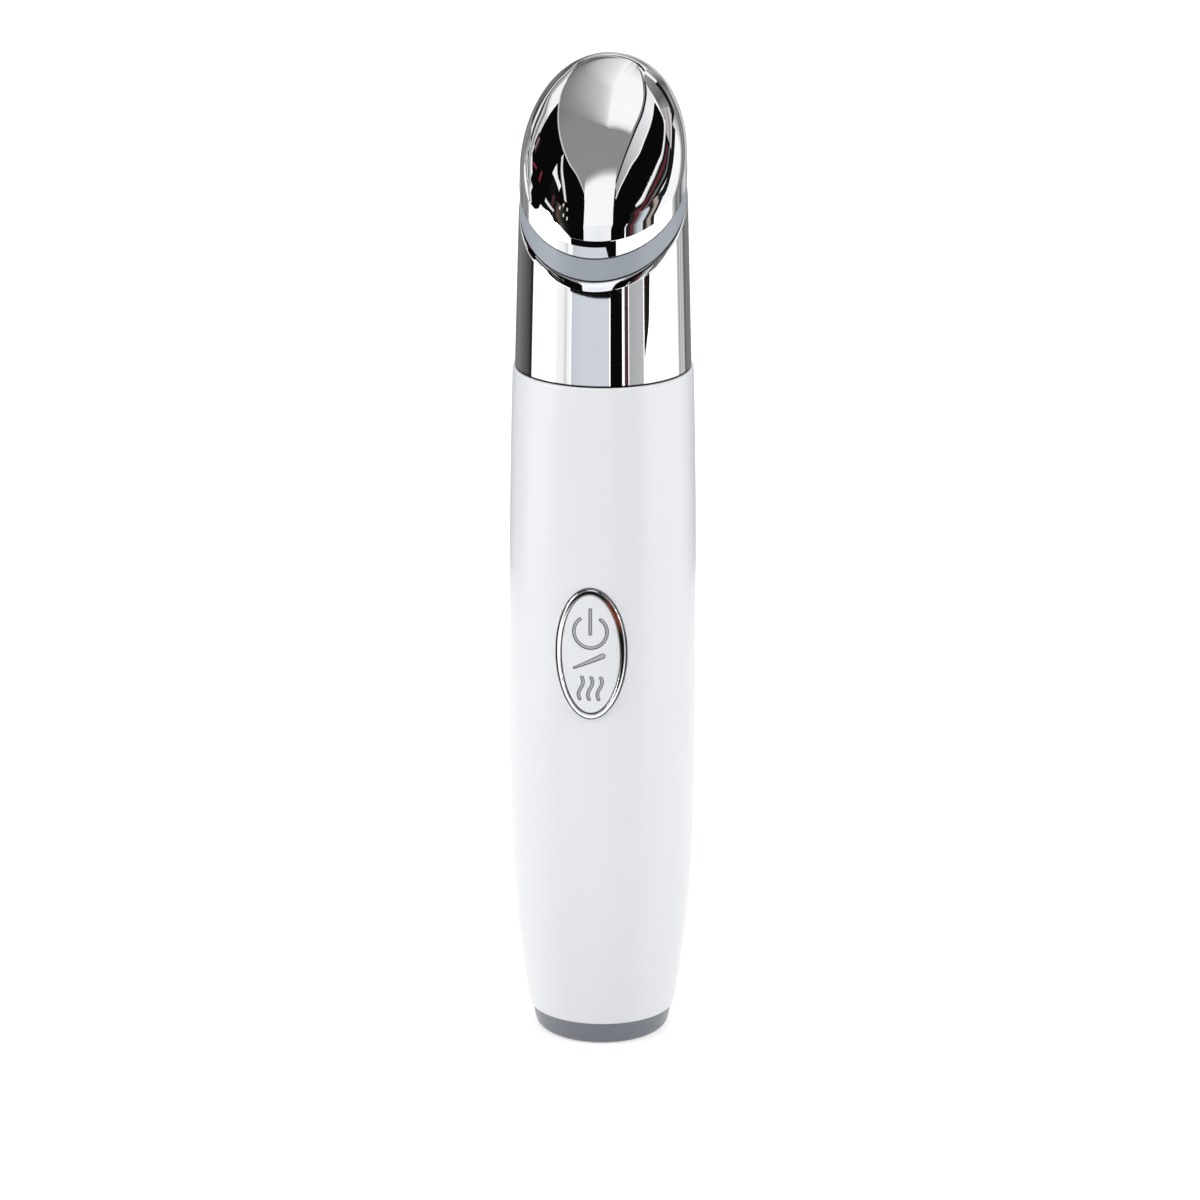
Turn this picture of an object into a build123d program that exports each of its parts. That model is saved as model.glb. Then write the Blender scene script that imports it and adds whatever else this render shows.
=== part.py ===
from build123d import *
import os
from math import cos, radians, sin, sqrt, tan

# Heated eye massager wand. Millimetres, +Z up along the wand.
# Origin: middle of the flat foot under the tail cap. The button and the massage face look towards -Y.

# ---- Tail cap ---------------------------------------------------------------------------------
TAIL_HEIGHT = 4.0            # visible height of the cap below the handle shell
TAIL_STEP = 0.3              # the shell's lower end stands proud of the cap
TAIL_TAPER = 0.9             # the cap narrows by this towards its foot
TAIL_EDGE_ROUND = 1.7
TAIL_FLOOR = 2.0
SPIGOT_LENGTH = 5.5          # part of the cap that plugs into the handle shell
SPIGOT_WALL = 1.3
SNAP_BEAD = 0.3              # bead that clicks behind the narrow mouth of the shell
SNAP_BEAD_HEIGHT = 1.2
POST_WIDTH = 2.2             # the two slotted posts that hold the charging board
POST_DEPTH = 3.4
POST_BITE = 0.8              # how far a board edge goes into its post

# ---- Handle shell -----------------------------------------------------------------------------
HANDLE_LENGTH = 106.5
BARREL_BELLY_RADIUS = 14.75
BARREL_FOOT_INSET = 3.15     # how much slimmer than the belly the barrel is at each station
BARREL_HIP_INSET = 1.0
BARREL_SIDE_INSET = 0.17
BARREL_TOP_INSET = 0.55
BARREL_HIP_RISE = 16.0       # heights of the stations above the shell's lower end
BARREL_SIDE_RISE = 32.0
BARREL_BELLY_RISE = 58.0
BARREL_FOOT_FLARE = 0.16     # change of radius per height at the two ends
BARREL_TOP_FLARE = -0.027
SHELL_WALL = 1.9
SHELL_LIP_ROUND = 0.3

# ---- Neck, insulating ring and massage head ---------------------------------------------------
COLLAR_STEP = 0.35           # the shell's upper lip stands proud of the chrome collar
NECK_DRAFT = 1.5             # degrees
COLLAR_WALL = 0.9
COLLAR_RISE = 26.7           # handle top to the ring's lower plane, along the axis
RING_TILT = 36.5             # degrees, front edge low
RING_THICKNESS = 2.8         # across the tilted ring
RING_EDGE_INSET = 0.12       # the grey ring lies this much inside the chrome on both sides
HEAD_WALL = 1.6
DOME_LONG_RADIUS = 34.0      # curvature of the massage face up and down
DOME_CROSS_RADIUS = 16.0     # and from side to side
DOME_SIDE_MARGIN = 0.4       # how far the dome's form stops short of its full half-width
HEAD_FRONT_WALL = 2.7        # side wall between the ring and the face, at the front and the back
HEAD_BACK_WALL = 9.0
DOME_EDGE_ROUND = 3.7
HEAD_SEAT = 2.5              # how far the core's neck reaches up into the head
NECK_CLEAR = 0.9             # room between the neck's end and the inside of the face

# ---- Button -----------------------------------------------------------------------------------
BUTTON_DROP = 8.0            # button middle below the motor's plate
BUTTON_WIDTH = 11.3          # chrome ring, outside
BUTTON_HEIGHT = 21.5
RING_BAND = 0.85
BUTTON_RING_PROUD = 0.55
KEY_PROUD = 0.3
KEY_GAP = 0.12
KEY_SKIN = 1.2
KEY_WALL = 1.0
KEY_TRAVEL = 0.3
STEM_RADIUS = 1.8
STEM_HOLE_GAP = 0.1
STEM_BEAD_RADIUS = 2.1
STEM_BEAD_HEIGHT = 0.4
HOUSING_FLOOR = 0.8
TRIM_ROUND = 0.3

# ---- Inner frame ------------------------------------------------------------------------------
FRAME_CLEARANCE = 0.55       # between the frame and the narrowest bore beside it
FRAME_WALL = 1.2
FRAME_BOTTOM_RISE = 16.5     # above the shell's lower end
FRAME_FRONT = 3.5            # the tray is open in front of this depth
PLATE = 1.5
SADDLE = 1.2
SADDLE_COUNT = 3
RAIL = 1.2

# ---- Electronics ------------------------------------------------------------------------------
BOARD_THICKNESS = 1.2
BOARD_WIDTH = 13.0
BOARD_DROP = 2.0             # how far the board hangs below the frame
SWITCH_SIZE = 5.2
SWITCH_HEIGHT = 1.7
PLUNGER_RADIUS = 1.2
PLUNGER_PROUD = 0.55
PLUNGER_SUNK = 0.6
PLUNGER_GAP = 0.05
CHIP_SIZE = 5.0
CHIP_THICKNESS = 0.9
TRANSISTOR_WIDTH = 4.0
TRANSISTOR_HEIGHT = 3.0
TRANSISTOR_THICKNESS = 1.3
CAPACITOR_WIDTH = 1.2
CAPACITOR_HEIGHT = 2.0
CAPACITOR_THICKNESS = 1.0
CAPACITOR_GAP = 1.3          # between the control chip and the capacitors
CHARGE_CHIP_WIDTH = 5.0
CHARGE_CHIP_HEIGHT = 4.0
CHARGE_CHIP_THICKNESS = 1.2
CHARGE_BOARD_WIDTH = 14.0
CHARGE_BOARD_GAP = 2.0       # between the charging board and the frame
CHARGE_BOARD_THICKNESS = 1.0
CHARGE_BOARD_SEAT = 1.0
USB_WIDTH = 8.94
USB_HEIGHT = 3.26
USB_LENGTH = 7.3
USB_WALL = 0.3
USB_RECESS = 0.5
USB_CORNER = 1.5
USB_TONGUE_WIDTH = 6.7
USB_TONGUE_THICKNESS = 0.7
USB_TONGUE_SETBACK = 1.0
USB_BLOCK = 2.0
BATTERY_FRAME_GAP = 0.5
BATTERY_BOARD_GAP = 2.9
BATTERY_PAD = 1.0
CELL_CAP_HEIGHT = 1.0
CELL_CAP_INSET = 1.5
CAN_ROUND = 0.6              # drawn edge of the cell and the motor can
LEAD_ROOM = 9.5              # between the battery and the motor's plate, for the leads
LEAD_FOOT_RISE = 2.0         # the head's leads reach the board this far above the guide plate
WIRE_RADIUS = 0.4
WIRE_HOLE_RADIUS = 0.7
LEAD_BEND = 2.0              # bend radius of the leads where there is room
LEAD_RISE = 3.5              # how far leads run on above a cell or floor before they turn
LEAD_FALL = 2.5
BATTERY_LEAD_SIDE = 1.5      # distance of each wire of a pair from the middle plane
CHARGE_LEAD_SIDE = 2.6
MOTOR_LEAD_SIDE = 2.0

# ---- Vibration motor --------------------------------------------------------------------------
MOTOR_RADIUS = 5.0
MOTOR_LENGTH = 15.0
MOTOR_BACK = 1.5
MOTOR_CAP = 2.0
SLEEVE_WALL = 0.9
SLEEVE_LENGTH = 12.0
SHAFT_RADIUS = 0.75
SHAFT_PROUD = 5.5
WEIGHT_RADIUS = 4.2
WEIGHT_LENGTH = 4.0
WEIGHT_HUB_RADIUS = 1.7
WEIGHT_CLEARANCE = 1.0       # between the weight and the frame's top plate

# ---- Fasteners, seal and fits -----------------------------------------------------------------
HEAD_SCREW_RADIUS = 0.95
HEAD_SCREW_LENGTH = 7.0      # depth of its boss
SCREW_TIP_GAP = 1.0
HEAD_SCREW_ANGLE = 20.8      # degrees behind the wand's sides
HEAD_SCREW_HEAD = 1.6        # head radius over shank radius
BOARD_SCREW_RADIUS = 0.75
BOARD_SCREW_LENGTH = 3.0
SCREW_BOSS_WALL = 1.05
SEAL_SECTION = 1.15
SEAL_RISE = 5.0              # seal's middle above the core's floor
CORE_FLOOR = 1.6
CORE_DEPTH = 10.5            # core's reach down into the handle
SEAL_BACKING = 0.9           # wall behind the seal's groove
FIT = 0.1                    # sliding and glued fits
SNUG = 0.05

# ---- Heater -----------------------------------------------------------------------------------
HEATER_THICKNESS = 0.3
HEATER_HALF_WIDTH = 7.0
HEATER_HALF_LENGTH = 10.5
SENSOR_SIZE = 2.0
SENSOR_THICKNESS = 1.0
HEATER_LEAD_SIDE = 3.2
SENSOR_LEAD_SIDE = 0.7
SENSOR_LEAD_FALL = 1.0       # the sensor's leads turn forwards this far below the ring's planes
LEAD_STANDOFF = 1.7          # the head's leads run down this far behind the main board

# ---- Derived places ---------------------------------------------------------------------------
BARREL_FOOT_RADIUS = BARREL_BELLY_RADIUS - BARREL_FOOT_INSET
BARREL_HIP_RADIUS = BARREL_BELLY_RADIUS - BARREL_HIP_INSET
BARREL_SIDE_RADIUS = BARREL_BELLY_RADIUS - BARREL_SIDE_INSET
BARREL_TOP_RADIUS = BARREL_BELLY_RADIUS - BARREL_TOP_INSET
TAIL_TOP_RADIUS = BARREL_FOOT_RADIUS - TAIL_STEP
TAIL_FOOT_RADIUS = TAIL_TOP_RADIUS - TAIL_TAPER
NECK_RADIUS = BARREL_TOP_RADIUS - COLLAR_STEP
FRAME_RADIUS = BARREL_HIP_RADIUS - SHELL_WALL - FRAME_CLEARANCE
SPIGOT_RADIUS = BARREL_TOP_RADIUS - SHELL_WALL - FIT
CORE_CAVITY_RADIUS = SPIGOT_RADIUS - SEAL_SECTION - SEAL_BACKING
SHELL_BOTTOM = TAIL_HEIGHT
SHELL_TOP = SHELL_BOTTOM + HANDLE_LENGTH
RING_LOW = SHELL_TOP + COLLAR_RISE
RING_HIGH = RING_LOW + RING_THICKNESS / cos(radians(RING_TILT))
NECK_END = RING_HIGH + 2 * NECK_RADIUS
RING_SEAT = BARREL_BELLY_RADIUS - SHELL_WALL
KEY_UNDERSIDE = RING_SEAT - KEY_TRAVEL - FIT
HOUSING_TOP = KEY_UNDERSIDE - KEY_TRAVEL - FIT
HOUSING_BOTTOM = HOUSING_TOP - HOUSING_FLOOR
STEM_END = HOUSING_BOTTOM - SNUG - STEM_BEAD_HEIGHT
PLUNGER_END = STEM_END - PLUNGER_GAP
SWITCH_FACE = PLUNGER_END - PLUNGER_PROUD
BOARD_FACE = SWITCH_FACE - SWITCH_HEIGHT
BOARD_BACK = BOARD_FACE - BOARD_THICKNESS
HEAD_LEAD_FRONT = BOARD_BACK - LEAD_STANDOFF
FRAME_BOTTOM = SHELL_BOTTOM + FRAME_BOTTOM_RISE
FRAME_TOP = SHELL_TOP - CORE_DEPTH
BOARD_BOTTOM = FRAME_BOTTOM - BOARD_DROP
MOTOR_TOP = FRAME_TOP - PLATE - WEIGHT_CLEARANCE - SHAFT_PROUD
MOTOR_BOTTOM = MOTOR_TOP - MOTOR_LENGTH
MOTOR_PLATE = MOTOR_BOTTOM - PLATE
BUTTON_Z = MOTOR_PLATE - BUTTON_DROP
GUIDE_PLATE = MOTOR_BOTTOM + SLEEVE_LENGTH - PLATE
LEAD_FOOT = GUIDE_PLATE + PLATE + LEAD_FOOT_RISE
BOARD_TOP = LEAD_FOOT + BOARD_DROP
SLEEVE_RADIUS = MOTOR_RADIUS + SLEEVE_WALL
BATTERY_LIMIT = FRAME_RADIUS - FRAME_WALL - BATTERY_FRAME_GAP
BATTERY_RADIUS = (BATTERY_LIMIT + BOARD_BACK - BATTERY_BOARD_GAP) / 2
BATTERY_BACK = BATTERY_LIMIT - BATTERY_RADIUS
BATTERY_BOTTOM = FRAME_BOTTOM + PLATE + BATTERY_PAD
BATTERY_TOP = MOTOR_PLATE - LEAD_ROOM
CORE_BOTTOM = FRAME_TOP
HEAD_SCREW_CIRCLE = CORE_CAVITY_RADIUS - HEAD_SCREW_HEAD * HEAD_SCREW_RADIUS - 2 * FIT
HEAD_SCREW_SIDE = HEAD_SCREW_CIRCLE * cos(radians(HEAD_SCREW_ANGLE))
HEAD_SCREW_BACK = HEAD_SCREW_CIRCLE * sin(radians(HEAD_SCREW_ANGLE))
USB_BACK_FACE = -USB_HEIGHT / 2
CHARGE_BOARD_BOTTOM = TAIL_FLOOR + CHARGE_BOARD_SEAT
CHARGE_BOARD_TOP = FRAME_BOTTOM - CHARGE_BOARD_GAP

ON_BASE = (Align.CENTER, Align.CENTER, Align.MIN)


# ---- Shared forms -----------------------------------------------------------------------------
def upright(radius, low, high, x=0.0, y=0.0):
    """Cylinder along the wand between two heights."""
    return Pos(x, y, low) * Cylinder(radius, high - low, align=ON_BASE)


def block(x0, x1, y0, y1, z0, z1):
    """Box given by its limits."""
    middle = Pos((x0 + x1) / 2, (y0 + y1) / 2, (z0 + z1) / 2)
    return middle * Box(x1 - x0, y1 - y0, z1 - z0)


def facing(distance):
    """Plane that looks out of the wand's front, at a distance from the axis and at button height."""
    return Plane(origin=(0, -distance, BUTTON_Z), x_dir=(1, 0, 0), z_dir=(0, -1, 0))


def front_peg(radius, inner, outer, z, x=0.0):
    """Round peg that points out of the wand's front."""
    return extrude(facing(inner) * Pos(x, z - BUTTON_Z) * Circle(radius), outer - inner)


def oval_bar(inset, inner, outer):
    """Oval prism of the button's outline, reduced by an inset, between two distances from the axis."""
    outline = Ellipse(BUTTON_WIDTH / 2 - inset, BUTTON_HEIGHT / 2 - inset)
    return extrude(facing(inner) * outline, outer - inner)


def barrel_curve(growth):
    """Side curve of the handle, moved outwards by a growth."""
    stations = (
        (BARREL_FOOT_RADIUS, 0.0),
        (BARREL_HIP_RADIUS, BARREL_HIP_RISE),
        (BARREL_SIDE_RADIUS, BARREL_SIDE_RISE),
        (BARREL_BELLY_RADIUS, BARREL_BELLY_RISE),
        (BARREL_TOP_RADIUS, HANDLE_LENGTH),
    )
    points = [(radius + growth, 0, SHELL_BOTTOM + rise) for radius, rise in stations]
    return Spline(*points, tangents=[(BARREL_FOOT_FLARE, 0, 1), (BARREL_TOP_FLARE, 0, 1)])


def bore_curve():
    """Inside of the handle: it follows the wall up to the barrel's side, then opens to the top."""
    stations = (
        (BARREL_FOOT_RADIUS, 0.0),
        (BARREL_HIP_RADIUS, BARREL_HIP_RISE),
        (BARREL_TOP_RADIUS, HANDLE_LENGTH),
    )
    points = [(radius - SHELL_WALL, 0, SHELL_BOTTOM + rise) for radius, rise in stations]
    lower = Line(points[0], points[1])
    upper = Line(points[1], points[2])
    return [lower, upper]


def barrel_solid(growth):
    """Handle form without its bore, grown outwards."""
    side = barrel_curve(growth)
    top = Line(side @ 1, (0, 0, SHELL_TOP))
    axis = Line((0, 0, SHELL_TOP), (0, 0, SHELL_BOTTOM))
    bottom = Line((0, 0, SHELL_BOTTOM), side @ 0)
    return revolve(make_face([side, top, axis, bottom]), Axis.Z)


def neck_radius(z):
    return NECK_RADIUS - (z - SHELL_TOP) * tan(radians(NECK_DRAFT))


def neck_solid(inset, low, high):
    """Tapered round form that the collar, ring and head share, reduced by an inset."""
    cone = Cone(neck_radius(low) - inset, neck_radius(high) - inset, high - low, align=ON_BASE)
    return Pos(0, 0, low) * cone


def ring_plane(z):
    """Tilted plane of the insulating ring where it crosses the axis at z."""
    tilt = radians(RING_TILT)
    return Plane(origin=(0, 0, z), x_dir=(1, 0, 0), z_dir=(0, -sin(tilt), cos(tilt)))


def dome_chord():
    """Front and back ends of the massage face's chord in the middle plane."""
    rise = NECK_RADIUS * tan(radians(RING_TILT))
    front = Vector(0, -NECK_RADIUS, RING_HIGH - rise + HEAD_FRONT_WALL)
    back = Vector(0, NECK_RADIUS, RING_HIGH + rise + HEAD_BACK_WALL)
    return front, back


def dome_normal():
    """Direction in which the middle of the massage face looks."""
    front, back = dome_chord()
    along = (back - front).normalized()
    return Vector(0, -along.Z, along.Y)


def dome_centre():
    """Middle of the massage face's long curve."""
    front, back = dome_chord()
    drop = sqrt(DOME_LONG_RADIUS ** 2 - (back - front).length ** 2 / 4)
    return (front + back) / 2 - dome_normal() * drop


def dome_reach(inset, x):
    """Distance from the dome's centre line to its surface, at a side distance x."""
    cross = DOME_CROSS_RADIUS - inset
    return DOME_LONG_RADIUS - DOME_CROSS_RADIUS + sqrt(cross ** 2 - x ** 2)


def dome_solid(inset):
    """Fat barrel, its axis across the wand, whose rim is the massage face."""
    y, z = dome_centre().Y, dome_centre().Z
    half = DOME_CROSS_RADIUS - DOME_SIDE_MARGIN - inset
    edge = dome_reach(inset, half)
    crown = dome_reach(inset, 0.0)
    arc = ThreePointArc((-half, y, z + edge), (0, y, z + crown), (half, y, z + edge))
    right = Line((half, y, z + edge), (half, y, z))
    base = Line((half, y, z), (-half, y, z))
    left = Line((-half, y, z), (-half, y, z + edge))
    return revolve(make_face([arc, right, base, left]), Axis((0, y, z), (1, 0, 0)))


def lead(points, radii):
    """Insulated wire: a round tube along straight runs joined by tangent arcs."""
    path = FilletPolyline(*points, radius=radii)
    section = Plane(origin=path @ 0, z_dir=path % 0) * Circle(WIRE_RADIUS)
    return sweep(section, path=path)


def lead_pair(side, route, radii):
    """Two equal wires, one on each side of the wand's middle plane."""
    return Compound([lead([(x, y, z) for y, z in route], radii) for x in (-side, side)])


# ---- Outer pieces -----------------------------------------------------------------------------
def handle_shell():
    """One-piece barrel with a tapered bore and the through opening of the button."""
    side = barrel_curve(0.0)
    lower, upper = bore_curve()
    top = Line(side @ 1, upper @ 1)
    bottom = Line(lower @ 0, side @ 0)
    shell = revolve(make_face([side, top, upper, lower, bottom]), Axis.Z)
    lip = shell.edges().filter_by(GeomType.CIRCLE).group_by(Axis.Z)[-1].sort_by(SortBy.RADIUS)[-1]
    shell = fillet(lip, SHELL_LIP_ROUND)
    return shell - oval_bar(-SNUG, 0, BARREL_BELLY_RADIUS + 2)


def tail_cap():
    """Grey end cap with a snap-in spigot, the socket opening and two slotted posts."""
    cap = Cone(TAIL_FOOT_RADIUS, TAIL_TOP_RADIUS, TAIL_HEIGHT, align=ON_BASE)
    cap = fillet(cap.edges().group_by(Axis.Z)[0], TAIL_EDGE_ROUND)
    mouth = BARREL_FOOT_RADIUS - SHELL_WALL
    spigot_radius = mouth - FIT
    spigot_top = TAIL_HEIGHT + SPIGOT_LENGTH
    cap += upright(spigot_radius, TAIL_HEIGHT, spigot_top)
    cap += upright(spigot_radius + SNAP_BEAD, spigot_top - SNAP_BEAD_HEIGHT, spigot_top)
    cap -= upright(spigot_radius - SPIGOT_WALL, TAIL_FLOOR, spigot_top)
    inner = CHARGE_BOARD_WIDTH / 2 - POST_BITE
    board_middle = USB_BACK_FACE - CHARGE_BOARD_THICKNESS / 2
    front = board_middle - POST_DEPTH / 2
    back = board_middle + POST_DEPTH / 2
    for side in (-1, 1):
        limits = sorted((side * inner, side * (inner + POST_WIDTH)))
        cap += block(*limits, front, back, TAIL_FLOOR / 2, FRAME_BOTTOM)
    cap -= charge_board_blank(SNUG)
    return cap - usb_bar(-FIT, -1.0, TAIL_FLOOR + 1.0)


def button_housing():
    """Oval cup that lines the opening and guides the key's stem."""
    cup = oval_bar(0.0, HOUSING_BOTTOM, RING_SEAT) - oval_bar(RING_BAND, HOUSING_TOP, RING_SEAT)
    return cup - front_peg(STEM_RADIUS + STEM_HOLE_GAP, 0, HOUSING_TOP, BUTTON_Z)


def rounded_rim(solid):
    """Rounds the outward rim of an oval button piece."""
    return fillet(solid.faces().sort_by(Axis.Y)[0].outer_wire().edges(), TRIM_ROUND)


def button_ring():
    """Proud chrome band whose top follows the barrel."""
    reach = BARREL_BELLY_RADIUS + 2
    band = oval_bar(0.0, RING_SEAT, reach) - oval_bar(RING_BAND, RING_SEAT, reach)
    band &= barrel_solid(BUTTON_RING_PROUD)
    return rounded_rim(band)


def button_key():
    """Crowned oval key with a hollow back and a stem that ends in a retaining bead."""
    inset = RING_BAND + KEY_GAP
    reach = BARREL_BELLY_RADIUS + 2
    key = oval_bar(inset, KEY_UNDERSIDE, reach) & barrel_solid(KEY_PROUD)
    key = rounded_rim(key)
    skin_back = BARREL_BELLY_RADIUS + KEY_PROUD - KEY_SKIN
    hollow = oval_bar(inset + KEY_WALL, KEY_UNDERSIDE, reach) & barrel_solid(KEY_PROUD - KEY_SKIN)
    key -= hollow
    key += front_peg(STEM_RADIUS, STEM_END, skin_back, BUTTON_Z)
    return key + front_peg(STEM_BEAD_RADIUS, STEM_END, STEM_END + STEM_BEAD_HEIGHT, BUTTON_Z)


def head_collar():
    """Thin chrome tube with an oblique upper end."""
    tube = neck_solid(0.0, SHELL_TOP, NECK_END) - neck_solid(COLLAR_WALL, SHELL_TOP, NECK_END)
    return split(tube, bisect_by=ring_plane(RING_LOW), keep=Keep.BOTTOM)


def insulator_ring():
    """Grey oblique ring that separates the collar from the warm head."""
    low = SHELL_TOP + 1.0
    hole = neck_solid(HEAD_WALL + SNUG, low, NECK_END)
    ring = neck_solid(RING_EDGE_INSET, low, NECK_END) - hole
    ring = split(ring, bisect_by=ring_plane(RING_LOW), keep=Keep.TOP)
    return split(ring, bisect_by=ring_plane(RING_HIGH), keep=Keep.BOTTOM)


def head_form(inset, floor):
    """Oblique domed head, reduced by an inset, standing on the tilted plane through floor."""
    body = neck_solid(inset, SHELL_TOP + 1.0, NECK_END)
    body = split(body, bisect_by=ring_plane(floor), keep=Keep.TOP)
    body &= dome_solid(inset)
    rim = body.faces().sort_by(SortBy.AREA)
    dome = [face for face in rim if face.geom_type in (GeomType.TORUS, GeomType.REVOLUTION)][-1]
    return fillet(dome.outer_wire().edges(), DOME_EDGE_ROUND - inset)


def massage_head():
    """Hollow metal head with an even wall."""
    return head_form(0.0, RING_HIGH) - head_form(HEAD_WALL, RING_HIGH - 1.0)


def head_core():
    """Inner holder: spigot in the handle, body in the collar and neck in the head."""
    body = neck_solid(COLLAR_WALL + FIT, SHELL_TOP, NECK_END)
    body = split(body, bisect_by=ring_plane(RING_LOW), keep=Keep.BOTTOM)
    neck = neck_solid(HEAD_WALL + FIT, SHELL_TOP, NECK_END)
    neck = split(neck, bisect_by=ring_plane(RING_HIGH + HEAD_SEAT), keep=Keep.BOTTOM)
    neck &= dome_solid(HEAD_WALL + NECK_CLEAR)
    core = upright(SPIGOT_RADIUS, CORE_BOTTOM, SHELL_TOP) + body + neck
    core -= upright(CORE_CAVITY_RADIUS, CORE_BOTTOM + CORE_FLOOR, NECK_END)
    groove_middle = CORE_BOTTOM + SEAL_RISE
    groove_half = SEAL_SECTION / 2 + SNUG
    groove = upright(SPIGOT_RADIUS + 1, groove_middle - groove_half, groove_middle + groove_half)
    groove -= upright(SPIGOT_RADIUS - SEAL_SECTION, SHELL_BOTTOM, SHELL_TOP)
    core -= groove
    for side in (-1, 1):
        place = {"x": side * HEAD_SCREW_SIDE, "y": HEAD_SCREW_BACK}
        core -= upright(HEAD_SCREW_RADIUS + FIT, CORE_BOTTOM - 1, CORE_BOTTOM + CORE_FLOOR + 1, **place)
    return core - lead_slot(CORE_BOTTOM - 1, CORE_BOTTOM + CORE_FLOOR + 1)


def lead_slot(low, high):
    """Slot through a floor for the four leads that come down from the head."""
    half = HEATER_LEAD_SIDE + WIRE_HOLE_RADIUS
    front = -HEAD_LEAD_FRONT - WIRE_HOLE_RADIUS
    return block(-half, half, front, front + 2 * WIRE_HOLE_RADIUS, low, high)


def head_seal():
    """O-ring squeezed between core and handle."""
    ring = Torus(SPIGOT_RADIUS + FIT / 2 - SEAL_SECTION / 2 - SNUG / 2, SEAL_SECTION / 2)
    return Pos(0, 0, CORE_BOTTOM + SEAL_RISE) * ring


# ---- Heater in the head -----------------------------------------------------------------------
def crown_plane(depth):
    """Plane square to the middle of the massage face, a depth below it."""
    normal = dome_normal()
    origin = dome_centre() + normal * (DOME_LONG_RADIUS - depth)
    return Plane(origin=origin, x_dir=(1, 0, 0), z_dir=normal)


def heater_film():
    """Thin heating film bonded behind the massage face."""
    outer = HEAD_WALL + SNUG
    film = dome_solid(outer) - dome_solid(outer + HEATER_THICKNESS)
    outline = crown_plane(DOME_LONG_RADIUS / 2) * Ellipse(HEATER_HALF_WIDTH, HEATER_HALF_LENGTH)
    return film & extrude(outline, DOME_LONG_RADIUS)


def sensor_depth():
    return HEAD_WALL + HEATER_THICKNESS + 3 * SNUG


def temperature_sensor():
    """Small thermistor behind the middle of the film."""
    plane = crown_plane(sensor_depth() + SENSOR_THICKNESS)
    return extrude(plane * Rectangle(SENSOR_SIZE, SENSOR_SIZE), SENSOR_THICKNESS)


def heater_leads():
    """Pair of wires from the film down to the main board."""
    centre = dome_centre()
    reach = dome_reach(HEAD_WALL + HEATER_THICKNESS + SNUG, HEATER_LEAD_SIDE)
    across = centre.Y + HEAD_LEAD_FRONT + WIRE_RADIUS
    top = centre.Z + sqrt(reach ** 2 - across ** 2) - 2 * SNUG
    route = ((-HEAD_LEAD_FRONT, top), (-HEAD_LEAD_FRONT, LEAD_FOOT), (-BOARD_BACK, LEAD_FOOT))
    return lead_pair(HEATER_LEAD_SIDE, route, [2 * WIRE_RADIUS])


def sensor_leads():
    """Pair of thin wires from the thermistor down to the main board."""
    back = crown_plane(sensor_depth() + SENSOR_THICKNESS + SNUG).origin
    start_z = back.Z - WIRE_RADIUS
    bend_high = RING_HIGH - SENSOR_LEAD_FALL
    bend_low = RING_LOW - SENSOR_LEAD_FALL - LEAD_BEND
    route = (
        (back.Y, start_z),
        (back.Y, bend_high),
        (-HEAD_LEAD_FRONT, bend_low),
        (-HEAD_LEAD_FRONT, LEAD_FOOT),
        (-BOARD_BACK, LEAD_FOOT),
    )
    return lead_pair(SENSOR_LEAD_SIDE, route, [LEAD_BEND, LEAD_BEND, 2 * WIRE_RADIUS])


# ---- Inner frame ------------------------------------------------------------------------------
def frame_bays():
    """Heights between which the tray is open: around the saddles, under the motor and around it."""
    pitch = (BATTERY_TOP - BATTERY_BOTTOM) / (SADDLE_COUNT + 1)
    floors = [FRAME_BOTTOM + PLATE]
    roofs = []
    for number in range(SADDLE_COUNT):
        middle = BATTERY_BOTTOM + pitch * (number + 1)
        roofs.append(middle - SADDLE / 2)
        floors.append(middle + SADDLE / 2)
    floors += [MOTOR_BOTTOM, GUIDE_PLATE + PLATE]
    roofs += [MOTOR_PLATE, GUIDE_PLATE, FRAME_TOP - PLATE]
    return list(zip(floors, roofs))


def tray_bay(low, high):
    """Inside of the tray, open to the front between the board rails, less the board screws' bosses."""
    radius = FRAME_RADIUS - FRAME_WALL
    half = BOARD_WIDTH / 2 + FIT
    bay = upright(radius, low, high)
    bay -= block(-radius, radius, -radius, -FRAME_FRONT, low, high)
    bay += block(-half, half, -FRAME_RADIUS, -FRAME_FRONT, low, high)
    boss_half = BOARD_SCREW_RADIUS + SCREW_BOSS_WALL
    boss_inner = BOARD_FACE - BOARD_SCREW_LENGTH
    for z in board_screw_heights():
        bay -= block(-boss_half, boss_half, -BOARD_BACK, -boss_inner, z - boss_half, z + boss_half)
    return bay


def battery_bay():
    """Room for the battery, open to the front."""
    radius = BATTERY_RADIUS + FIT
    low = FRAME_BOTTOM + PLATE
    bay = upright(radius, low, BATTERY_TOP, y=BATTERY_BACK)
    return bay + block(-radius, radius, -FRAME_RADIUS, BATTERY_BACK, low, BATTERY_TOP)


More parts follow.
